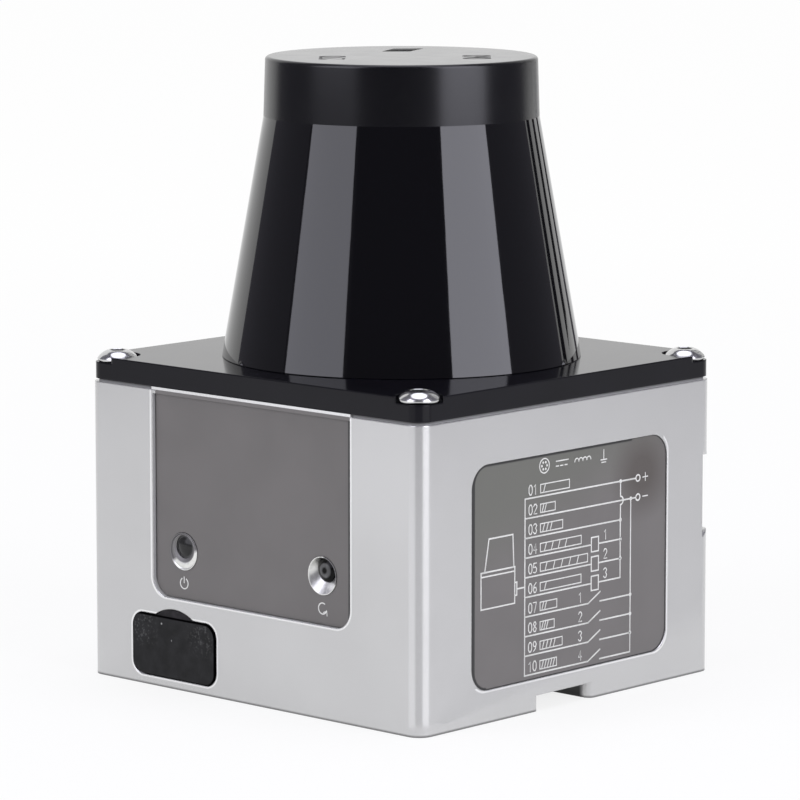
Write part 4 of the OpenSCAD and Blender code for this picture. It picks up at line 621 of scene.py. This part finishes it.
def buildCover(x, y, z, w, h, t, fillet, crown, corners, rim, flange, chamfer, tabW, tabH, tabT,
               plugW, plugH, plugR, plugD, plugEdge, sunk, stemX, stemR, bulbR, stemL, pole, count=40, steps=32):
    def addRubber(name, coords, faces, finish, dark=None):
        coords = (coords + np.array([x, y, z])) * mm
        piece = addPiece(name, coords, faces, "usb_cap", [finishes[finish]], 30, dark)
        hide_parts("usb_cap")

    # raised face: straight side, rounded edge, faintly crowned front
    levels = [(0, -0.3, pole), (0, -0.3, 1)]
    levels += [(inset, crown - t + back, 1) for inset, back in arc((fillet, fillet), fillet, 180, 270, 12)]
    levels += [(fillet, crown * s * s - t, s) for s in (0.99, 0.983, 0.9, 0.7, 0.5, 0.3, 0.1, pole)]
    coords, faces = stackedPlate(w, h, corners, levels)
    # the side and rounded edge get the black painted shade
    dark = (np.arange(len(levels)) < 9).repeat(len(coords) // len(levels))
    addRubber("coverFace", coords, faces, "cap_rubber", dark)
    # flange behind it, all in black painted shade
    levels = [(0, 0, pole), (0, 0, 1), (0, chamfer - flange, 1), (chamfer, -flange, 1), (chamfer, -flange, pole)]
    coords, faces = stackedPlate(w + 2 * rim, h + 2 * rim, [r + rim for r in corners], levels)
    addRubber("coverFlange", coords, faces, "cap_rubber", np.ones(len(coords)))
    # pull tab: a circle's bow over the top edge
    top = h / 2 + rim
    bowR = (tabW ** 2 / 4 + tabH ** 2) / (2 * tabH)
    half = math.degrees(math.asin(tabW / 2 / bowR))
    bow = arc((0, top + tabH - bowR), bowR, 90 - half, 90 + half, count)
    foot = np.stack([bow[::-1, 0], np.full(count, top - 0.9)], -1)
    middle = top - 0.1
    ring = np.concatenate([bow, foot]) - [0, middle]
    rows = [(pole, 0), (1, 0), (1, 0.12 - tabT), (0.97, -tabT), (pole, -tabT)]
    tab = np.concatenate([np.stack([ring[:, 0] * s, np.full(len(ring), d), ring[:, 1] * s + middle], -1)
                          for s, d in rows])
    addRubber("coverTab", tab, ringQuads(len(rows), len(ring)), "capTab")
    # plug that fills the opening, rounded at its inner edge
    levels = [(0, sunk, pole), (0, sunk, 1)]
    levels += [(inset, plugD - back, 1) for inset, back in arc((plugEdge, plugEdge), plugEdge, 180, 270, 8)]
    coords, faces = stackedPlate(plugW, plugH, (plugR,) * 4, levels + [(plugEdge, plugD, pole)])
    addRubber("coverPlug", coords, faces[:, ::-1], "capTab")
    # stem with its bulb, turned about +Y
    low = math.degrees(math.acos(stemR / bulbR))
    profile = np.concatenate([[[pole, sunk], [stemR, sunk]], arc((0, stemL), bulbR, -low, 89.9, 24)])
    stem = turned(profile, steps)[:, [0, 2, 1]] + [stemX, 0, 0]
    addRubber("coverStem", stem, ringQuads(len(profile), steps)[:, ::-1], "capTab")


buildCover(**cover)
print("port cover moulded")


screw = {"x": 27.25, "y": 26.25, "z": 42.3, "tip": 1.2, "shank": 1.45, "long": 10.0, "r": 2.72, "edge": 0.42,
         "dome": 1.5, "flat": 1.35, "bulge": 21.0, "socket": 1.0, "deep": 0.95, "chamfer": 0.06, "twist": 12,
         "cone": 0.25, "steps": 72}


def buildScrews(x, y, z, tip, shank, long, r, edge, dome, flat, bulge, socket, deep, chamfer, twist, cone, steps):
    # turned shank and head: the dome is an arc that bulges over the chord from edge to flat, and
    # the socket's radius is a hexagon's, half its width over the cosine of the turn
    low, high, floor = np.array([r, edge]), np.array([flat, dome]), dome - deep
    lean = math.degrees(math.atan2(r - flat, dome - edge))
    ballR = np.linalg.norm(high - low) / 2 / math.sin(math.radians(bulge))
    start, end = lean - bulge, lean + bulge
    centre = low - ballR * np.array([math.cos(math.radians(start)), math.sin(math.radians(start))])
    body = [[0, -long], [tip, -long], [shank, 0.3 - long], [shank, 0], [r - edge, 0]]
    hole = [[chamfer, dome], [0, dome - chamfer], [0, floor], [0, floor - cone]]
    curves = [arc((r - edge, edge), edge, -80, -4, 14), arc(centre, ballR, start, end, 26)]
    profile = np.concatenate([body, *curves, hole])
    turn = np.linspace(0, 2 * np.pi, steps, endpoint=False)
    wide = np.repeat(profile[:, :1], steps, 1)
    wide[-4:-1] += socket / np.cos((turn + math.radians(twist)) % (np.pi / 3) - np.pi / 6)
    one = np.stack([wide * np.cos(turn), wide * np.sin(turn), profile[:, 1:] + 0 * turn], -1).reshape(-1, 3)
    places = np.array([[sx * x, sy * y, z] for sx in (-1, 1) for sy in (-1, 1)])
    coords = (one[None] + places[:, None]).reshape(-1, 3)
    quads = ringQuads(len(profile), steps)
    faces = np.concatenate([quads + i * len(one) for i in range(4)])
    piece = addPiece("lidScrewHeads", coords * mm, faces, "base", [finishes["screw_steel"]], 24)
    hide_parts("lid_screws")


buildScrews(**screw)
print("lid screws turned")


powerDome = {"key": "power", "y": -28.66, "r": 1.5, "crown": 0.4, "back": -25.0, "bodyR": 1.4}
workDome = {"key": "work", "y": -28.12, "r": 1.5, "crown": 0.42, "back": -25.0, "bodyR": 1.4}
powerCollar = {"inner": 1.52, "outer": 2.42, "y": -28.44, "swell": 0.2, "back": -28.1, "rows": 20, "steps": 72}


def buildLens(key, y, r, crown, back, bodyR, steps=64):
    # low dome, turned about the light's own axis: depth grows with a power of its radius
    along, edge = np.linspace(0, 1, 22) * r, y + crown
    dome = np.stack([along, y + crown * (along / r) ** 2.4], -1)
    profile = np.concatenate([dome, [[r, edge + 0.35], [bodyR, edge + 0.5], [bodyR, back], [0, back]]])
    x, z = lights[key]
    coords = turned(profile, steps)[:, [0, 2, 1]] + [x, 0, z]
    piece = addPiece(key + "Lens", coords * mm, ringQuads(len(profile), steps)[:, ::-1], "base",
                     [finishes[key + "Lens"]], 30)
    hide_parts(key + "_led")


def buildCollar(inner, outer, y, swell, back, rows, steps):
    # swollen collar between the left lens and its bezel: rows blend the lens's circle into the bezel's
    # as share s goes from 0 to 1, and the front swells by the sine of half a turn times s
    turn = np.linspace(0, 2 * np.pi, steps, endpoint=False)
    front = np.linspace(0, 1, rows)
    share = np.concatenate([[0], front, [1]])[:, None]
    depth = np.concatenate([[back], y - swell * np.sin(np.pi * front), [back]])[:, None]
    (lensX, lensZ), (ringX, ringZ) = lights["power"], lights["powerBezel"]
    across = (1 - share) * (lensX + inner * np.cos(turn)) + share * (ringX + outer * np.cos(turn))
    up = (1 - share) * (lensZ + inner * np.sin(turn)) + share * (ringZ + outer * np.sin(turn))
    coords = np.stack([across, depth + 0 * across, up], -1).reshape(-1, 3)
    addPiece("powerCollar", coords * mm, ringQuads(len(share), steps, True)[:, ::-1], "base",
             [finishes["bezel_bright"]], 30)


buildCollar(**powerCollar)
buildLens(**powerDome)
buildLens(**workDome)
print("lenses turned")


trim = {"half": 18.0, "front": -29.0, "back": -28.65, "low": 39.702, "high": 40.06}


def buildTrim(half, front, back, low, high):
    # bright bar over the front panel, in the gap before the gasket
    ring = [(front, low), (back, low), (back, high), (front, high)]
    coords = np.array([(x, y, z) for x in (-half, half) for y, z in ring])
    faces = np.concatenate([ringQuads(2, 4), [(4, 5, 6, 7), (3, 2, 1, 0)]])
    addPiece("panelTrim", coords * mm, faces, "base", [finishes["cutEdge"]], 30)


buildTrim(**trim)
print("trim laid")


# stroke digits on a grid two wide and four high
digitPaths = {"0": [(0, 1), (0, 3), (0.6, 4), (1.4, 4), (2, 3), (2, 1), (1.4, 0), (0.6, 0), (0, 1)],
              "1": [(0.4, 3.2), (1.2, 4), (1.2, 0)],
              "2": [(0, 3.2), (0.6, 4), (1.4, 4), (2, 3.2), (2, 2.6), (0, 0), (2, 0)],
              "3": [(0, 3.5), (0.6, 4), (1.4, 4), (2, 3.2), (1.3, 2.2), (2, 1.1), (1.4, 0), (0.6, 0), (0, 0.6)],
              "4": [(1.5, 0), (1.5, 4), (0, 1.3), (2, 1.3)],
              "5": [(1.9, 4), (0.2, 4), (0.1, 2.2), (1.2, 2.5), (2, 1.7), (1.8, 0.5), (1.1, 0), (0, 0.3)],
              "6": [(1.7, 4), (0.5, 2.9), (0, 1.2), (0.6, 0), (1.4, 0), (2, 0.9), (1.6, 2), (0.7, 2.1), (0, 1.2)],
              "7": [(0, 4), (2, 4), (0.8, 0)],
              "8": [(1, 2.2), (0.2, 3.1), (0.6, 4), (1.4, 4), (1.8, 3.1), (1, 2.2), (0, 1.1), (0.6, 0), (1.4, 0),
                    (2, 1.1), (1, 2.2)],
              "9": [(0.3, 0), (1.5, 1.1), (2, 2.8), (1.4, 4), (0.6, 4), (0, 3.1), (0.4, 2), (1.3, 1.9), (2, 2.8)]}


def number(text, x, y, high):
    # digits that meet themselves are drawn as two strokes
    size, strokes = high / 4, []
    for i, letter in enumerate(text):
        path = [(x + (px + 2.9 * i) * size, y + py * size) for px, py in digitPaths[letter]]
        half = len(path) // 2
        strokes += [path[:half + 1], path[half:]] if letter in "689" else [path]
    return strokes


def circlePath(x, y, r, start=0, end=360, count=28):
    return arc((x, y), r, start, end, count).tolist()


def boxPath(left, low, right, high):
    return [(left, low), (right, low), (right, high), (left, high), (left, low)]


def levelPath(start, end, y):
    return [(start, y), (end, y)]


# ribbon along a path: its points moved half the width to each side, mitred at the bends
def ribbon(path, width):
    p = np.asarray(path, float)
    seg = np.diff(p, axis=0)
    seg = seg / np.linalg.norm(seg, axis=1, keepdims=True)
    n = np.stack([-seg[:, 1], seg[:, 0]], -1)
    closed = np.allclose(p[0], p[-1])
    if not closed:
        p[0], p[-1] = p[0] - seg[0] * width / 2, p[-1] + seg[-1] * width / 2
    before = np.concatenate([n[-1:] if closed else n[:1], n])
    after = np.concatenate([n, n[:1] if closed else n[-1:]])
    both = before + after
    out = both * np.minimum(2 / np.sum(both * both, 1, keepdims=True), 0.9) * width / 2
    return np.stack([p[:-1] - out[:-1], p[1:] - out[1:], p[1:] + out[1:], p[:-1] + out[:-1]], 1)


# print on the plane origin + u, v: ribbons and filled quads, each a hair above the one before
def printInk(name, paths, width, origin, u, v, finish, slot, fills=()):
    u, v = np.asarray(u, float), np.asarray(v, float)
    layers = [ribbon(path, width) for path in paths] + [np.asarray([fill], float) for fill in fills]
    lift = np.concatenate([np.full(len(layer) * 4, 0.0008 * (i % 9)) for i, layer in enumerate(layers)])
    flat = np.concatenate(layers).reshape(-1, 2)
    coords = np.asarray(origin) + flat[:, :1] * u + flat[:, 1:] * v + lift[:, None] * np.cross(u, v)
    piece = addPiece(name, coords * mm, np.arange(len(flat)).reshape(-1, 4), "base", [finishes[finish]], 30)
    thick = piece.modifiers.new("film", "SOLIDIFY")
    thick.thickness, thick.offset = 0.012 * mm, -1


wiring = {"face": 29.815, "z": 18.9, "line": 0.21, "thin": 0.16, "bus": -8.95, "first": 9.15, "step": 2.565,
          "rail": 10.05, "rail2": 12.15, "end": 13.6, "dot": 0.17, "coil": (4.2, 5.65, 0.95),
          "switch": (3.6, 6.0, 1.25), "digit": 1.25, "rise": 0.42, "sleeveH": 1.1,
          "sleeves": (5.7, 2.9, 4.4, 8.1, 9.4, 8.1, 3.3, 2.8, 4.4, 3.3),
          "unit": (-17.4, -10.9, -4.1, 0.1, 0.65), "peak": [(-16.7, 0.65), (-15.9, 4.9), (-11.3, 4.9), (-11.1, 0.65)],
          "tail": (-10.5, -3.1, -2.3, -1.4)}


def buildWiring(face, z, line, thin, bus, first, step, rail, rail2, end, dot, coil, switch, digit, rise,
                sleeveH, sleeves, unit, peak, tail):
    # plain circuit: unit, trunk, ten leads, three coils, four switches, two terminals
    lead = [first - step * i for i in range(10)]
    hop = circlePath(rail, lead[1], 0.55, 90, -90, 12)
    paths = [[(bus, lead[0]), (bus, lead[9])], [(rail, lead[0])] + hop + [(rail, lead[5])],
             [(rail2, lead[1]), (rail2, lead[9])]]
    paths += [levelPath(bus, stop, y) for stop, y in zip((end - 0.45, end - 0.45, rail), lead)]
    paths += [circlePath(end, y, 0.42) for y in lead[:2]]
    paths += [circlePath(rail, lead[i], dot, count=10) for i in (0, 2, 3, 4)]
    paths += [circlePath(rail2, lead[i], dot, count=10) for i in (1, 6, 7, 8)]
    left, right, half = coil
    for y in lead[3:6]:
        paths += [levelPath(bus, left, y), levelPath(right, rail, y), boxPath(left, y - half, right, y + half)]
    left, right, lift = switch
    for y in lead[6:]:
        paths += [levelPath(bus, left, y), [(left, y), (right, y + lift)], levelPath(right, rail2, y)]
    # outline of the unit and its tail
    left, right, low, seam, lid = unit
    tip, tailLow, tailMid, tailHigh = tail
    paths += [boxPath(left, low, right, seam), levelPath(left, right, lid), [(left, seam), (left, lid)],
              [(right, seam), (right, lid)], peak,
              [(right, tailLow), (tip, tailLow), (tip, tailHigh), (right, tailHigh)], levelPath(tip, bus, tailMid)]
    onSide = (0, 1, 0), (0, 0, 1), "whiteInk", "plate_grey"
    printInk("wiringLines", paths, line, (face, 0, z), *onSide)
    # numbers, and sleeves with one to five bars
    marks = []
    for i, (y, long) in enumerate(zip(lead, sleeves)):
        marks += number(str(i + 1).zfill(2), bus + 0.75, y + rise, digit)
        left, low = bus + 3.0, y + 0.45
        bars = [left + long * (k + 0.6) / 6 for k in range(i % 5 + 1)]
        marks += [boxPath(left, low, left + long, low + sleeveH)]
        marks += [[(x, low), (x + 0.4, low + sleeveH)] for x in bars]
    for i, y in enumerate(lead[3:]):
        text, x = (str(i + 1), coil[0] + 2.5) if i < 3 else (str(i - 2), switch[0] - 1.9)
        marks += number(text, x, y + rise, digit)
    plus, minus = lead[:2]
    marks += [levelPath(end + 1.0, end + 2.0, plus), [(end + 1.5, plus - 0.5), (end + 1.5, plus + 0.5)],
              levelPath(end + 1.0, end + 2.0, minus)]
    # heading: round plug face, direct current sign, coil sign, earth sign
    high = lead[0] + 3.9
    marks += [circlePath(-5.2, high, 0.95)]
    marks += [circlePath(-5.2 + 0.5 * math.cos(a), high + 0.5 * math.sin(a), 0.09, count=8)
              for a in np.arange(6) * math.pi / 3]
    marks += [levelPath(-2.9, -0.5, high + 0.3)]
    marks += [levelPath(-2.9 + 0.85 * k, -2.4 + 0.85 * k, high - 0.35) for k in range(3)]
    marks += [circlePath(1.2 + 0.8 * k, high - 0.2, 0.4, 0, 180, 12) for k in range(4)]
    marks += [levelPath(6.0, 7.2, high - 0.6), levelPath(6.2, 7.0, high - 0.95),
              [(6.6, high - 0.6), (6.6, high + 0.7)]]
    printInk("wiringMarks", marks, thin, (face + 0.006, 0, z), *onSide)


buildWiring(**wiring)


legend = {"face": -28.515, "z": 14.35, "x": 12.6, "r": 0.72, "line": 0.17}


def buildLegends(face, z, x, r, line):
    # power sign under the left light, run sign under the right one
    arrow = [(x + r * along, z - r * down) for along, down in ((0.25, 0.7), (1.02, 0.36), (1.1, 1.15))]
    paths = [circlePath(-x, z, r, 125, 415), [(-x, z + 0.1), (-x, z + r * 1.15)], circlePath(x, z, r, 60, 340), arrow]
    printInk("lightSigns", paths, line, (0, face, 0), (1, 0, 0), (0, 0, 1), "whiteInk", "plate_grey")


buildLegends(**legend)


topMarks = {"z": 82.991, "turn": 42.7, "stroke": 0.5, "wedge": [(-2.6, 7.2), (1.1, 7.3), (2.9, 12.8), (-1.1, 12.3)],
            "left": ("270", 3.0, -7.6, -7.3), "right": ("090", 3.2, 8.3)}


def buildTopMarks(z, turn, stroke, wedge, left, right):
    # slanted index bar, a number at each side of it
    c, s = math.cos(math.radians(turn)), math.sin(math.radians(turn))
    text, high, out, down = left
    sides = [[(out - y, x + down) for x, y in path] for path in number(text, 0, 0, high)]
    text, high, out = right
    sides += [[(out + y, -x) for x, y in path] for path in number(text, 0, 0, high)]
    printInk("topMarks", sides, stroke, (0, 0, z), (c, s, 0), (-s, c, 0), "darkInk", "hood_window", [wedge])


buildTopMarks(**topMarks)
print("print laid on")


# studio: white surround, dim screen behind the camera, two tall soft boxes, one soft light overhead
studio = {"ambient": 0.5, "floor": grey(0.88), "floorSide": 6.0, "floorGlow": (0.82, 0.97), "cool": (0.97, 0.97, 1.08),
          "dim": (0.97, 0.95, 1.10, 1), "pale": (1, 1, 1.02, 1),
          # azimuths and strength of each upright screen
          "screens": [(-85, -38, 0.21), (-38, 8, 0.13), (8, 75, 0.095), (75, 117, 0.13), (117, 167, 0.2),
                      (169, 174, 0.03), (180.5, 185.5, 0.03), (193, 198, 0.05)],
          "screenRadius": 1.5, "screenHigh": 1.7, "strip": (0.42, 0.11), "ceiling": 0.17,
          "left": {"turn": -15.2, "wide": 0.678, "radiance": 2.7, "low": 0.12, "high": 0.8},
          "right": {"turn": 95.55, "wide": 0.677, "radiance": 4.2, "low": 0.03, "high": 0.56},
          "boxDistance": 0.9, "sail": (0.85, 1.36), "sailNear": 0.96,
          # azimuths, reach and strength of the cards on the floor, spread out from the base's near corner
          "nearCorner": (29, -28),
          "bounces": [(-38, 11, 4, 420, 1.2), (11, 66, 4, 280, 0.8), (66, 117, 4, 280, 1.35), (11, 66, 280, 420, 0.4),
                      (66, 117, 280, 420, 2.6), (117, 147, 4, 420, 0.92), (147, 165, 4, 420, 0.85),
                      (-50, -38, 150, 420, 1.25)],
          "overhead": {"radiance": 2.1, "across": 1.02, "at": (-0.06, 0.07, 1.15)}}


def seenRays(tree):
    # 1 for camera, mirror and see-through rays
    path = tree.nodes.new("ShaderNodeLightPath")
    camera, glossy, through = (Wire(tree, path.outputs["Is %s Ray" % kind])
                               for kind in ("Camera", "Glossy", "Transmission"))
    return camera.either(glossy).either(through)


def buildWorld(spec):
    world = bpy.data.worlds.new("surround")
    bpy.context.scene.world = world
    world.use_nodes = True
    sky = world.node_tree.nodes["Background"]
    strength = spec["ambient"] + (1 - spec["ambient"]) * seenRays(world.node_tree)
    world.node_tree.links.new(strength.out, sky.inputs["Strength"])
    sky.inputs["Color"].default_value = (1, 1, 1, 1)


def stageMesh(name, coords, faces, material):
    mesh = bpy.data.meshes.new(name)
    mesh.from_pydata(np.asarray(coords).tolist(), [], np.asarray(faces).tolist())
    mesh.materials.append(material)
    made = bpy.data.objects.new(name, mesh)
    bpy.context.scene.collection.objects.link(made)
    return made


def glowMaterial(name, strength, tone):
    material = bpy.data.materials.new(name)
    material.cycles.emission_sampling = "NONE"
    material.use_nodes = True
    tree = material.node_tree
    tree.nodes.clear()
    glow, out = tree.nodes.new("ShaderNodeEmission"), tree.nodes.new("ShaderNodeOutputMaterial")
    glow.inputs["Strength"].default_value = strength
    glow.inputs["Color"].default_value = tone
    tree.links.new(glow.outputs[0], out.inputs["Surface"])
    return material


def buildFloor(spec):
    material = bpy.data.materials.new("paleFloor")
    material.use_nodes = True
    tree = material.node_tree
    tree.nodes.clear()
    matt, glow = tree.nodes.new("ShaderNodeBsdfDiffuse"), tree.nodes.new("ShaderNodeEmission")
    mix, out = tree.nodes.new("ShaderNodeMixShader"), tree.nodes.new("ShaderNodeOutputMaterial")
    matt.inputs["Color"].default_value = spec["floor"]
    # the shadow stays near the object, and further out the floor fades to white
    place = Wire(tree, tree.nodes.new("ShaderNodeTexCoord").outputs["Object"])
    far = place.node("VectorMath", {"operation": "LENGTH"}, {0: place}, 1).ramp(0.1, 0.5)
    near, away = spec["floorGlow"]
    tree.links.new(((near + (away - near) * far) * seenRays(tree)).out, mix.inputs["Fac"])
    tree.links.new(matt.outputs[0], mix.inputs[1])
    tree.links.new(glow.outputs[0], mix.inputs[2])
    tree.links.new(mix.outputs[0], out.inputs["Surface"])
    side = spec["floorSide"]
    corners = [(-side, -side, 0), (side, -side, 0), (side, side, 0), (-side, side, 0)]
    stageMesh("floor", corners, [(0, 1, 2, 3)], material)


# rows of points on an arc about an upright axis, azimuth counted from the front
def arcCard(name, start, end, near, far, strength, tone=studio["dim"], count=40):
    turn = np.radians(np.linspace(start, end, count))
    flat = np.stack([np.sin(turn), -np.cos(turn)], -1)
    rows = [np.concatenate([flat * r, np.full((count, 1), z)], 1) for r, z in (near, far)]
    step = np.arange(count - 1)
    faces = np.stack([step, step + 1, step + count + 1, step + count], -1)
    card = stageMesh(name, np.concatenate(rows), faces, glowMaterial(name, strength, tone))
    card.visible_camera = card.visible_diffuse = card.visible_shadow = card.visible_transmission = False
    return card


def buildScreens(spec):
    # cards seen only in reflections: dim upright screens, strips of floor before them, a sail over
    # each soft box, bounce cards on the floor, a ceiling
    r, high, screens = spec["screenRadius"], spec["screenHigh"], spec["screens"]
    for i, (start, end, strength) in enumerate(screens):
        arcCard("screen%d" % i, start, end, (r, 0.001), (r, high), strength)
    near, glow = spec["strip"]
    for name, start, end in (("floorStrip", screens[0][0], screens[4][1]), ("floorLane", *screens[-1][:2])):
        arcCard(name, start, end, (near, 0.001), (r, 0.001), glow)
    for key in ("left", "right"):
        box = spec[key]
        half = math.degrees(math.atan(box["wide"] / 2 / spec["boxDistance"]))
        low = spec["sailNear"], box["high"]
        arcCard(key + "Sail", box["turn"] - half, box["turn"] + half, low, spec["sail"], box["radiance"])
    x, y = spec["nearCorner"]
    for i, (start, end, near, far, strength) in enumerate(spec["bounces"]):
        card = arcCard("bounce%d" % i, start, end, (near * mm, 0), (far * mm, 0), strength, spec["pale"])
        card.location = (x * mm, y * mm, (6 + i) * 0.0001)
    arcCard("ceilingCard", -180, 180, (0.001, high), (r, high), spec["ceiling"])


def addSoftBox(name, where, aim, wide, high, radiance, shape="RECTANGLE"):
    data = bpy.data.lights.new(name, "AREA")
    data.shape, data.size, data.size_y = shape, wide, high
    data.energy = radiance * wide * high * math.pi * (math.pi / 4 if shape == "ELLIPSE" else 1)
    data.color = studio["cool"]
    lamp = bpy.data.objects.new(name, data)
    bpy.context.scene.collection.objects.link(lamp)
    lamp.location = where
    lamp.rotation_euler = (Vector(where) - Vector(aim)).to_track_quat("Z", "Y").to_euler()
    lamp.visible_camera = False


buildWorld(studio)
buildFloor(studio)
buildScreens(studio)
for key in ("left", "right"):
    box = studio[key]
    turn = math.radians(box["turn"])
    level = (box["low"] + box["high"]) / 2
    where = (math.sin(turn) * studio["boxDistance"], -math.cos(turn) * studio["boxDistance"], level)
    addSoftBox(key + "Box", where, (0, 0, level), box["wide"], box["high"] - box["low"], box["radiance"])
above = studio["overhead"]
across, under = above["across"], (*above["at"][:2], 0)
addSoftBox("overheadBox", above["at"], under, across, across, above["radiance"], "ELLIPSE")
print("studio lit")
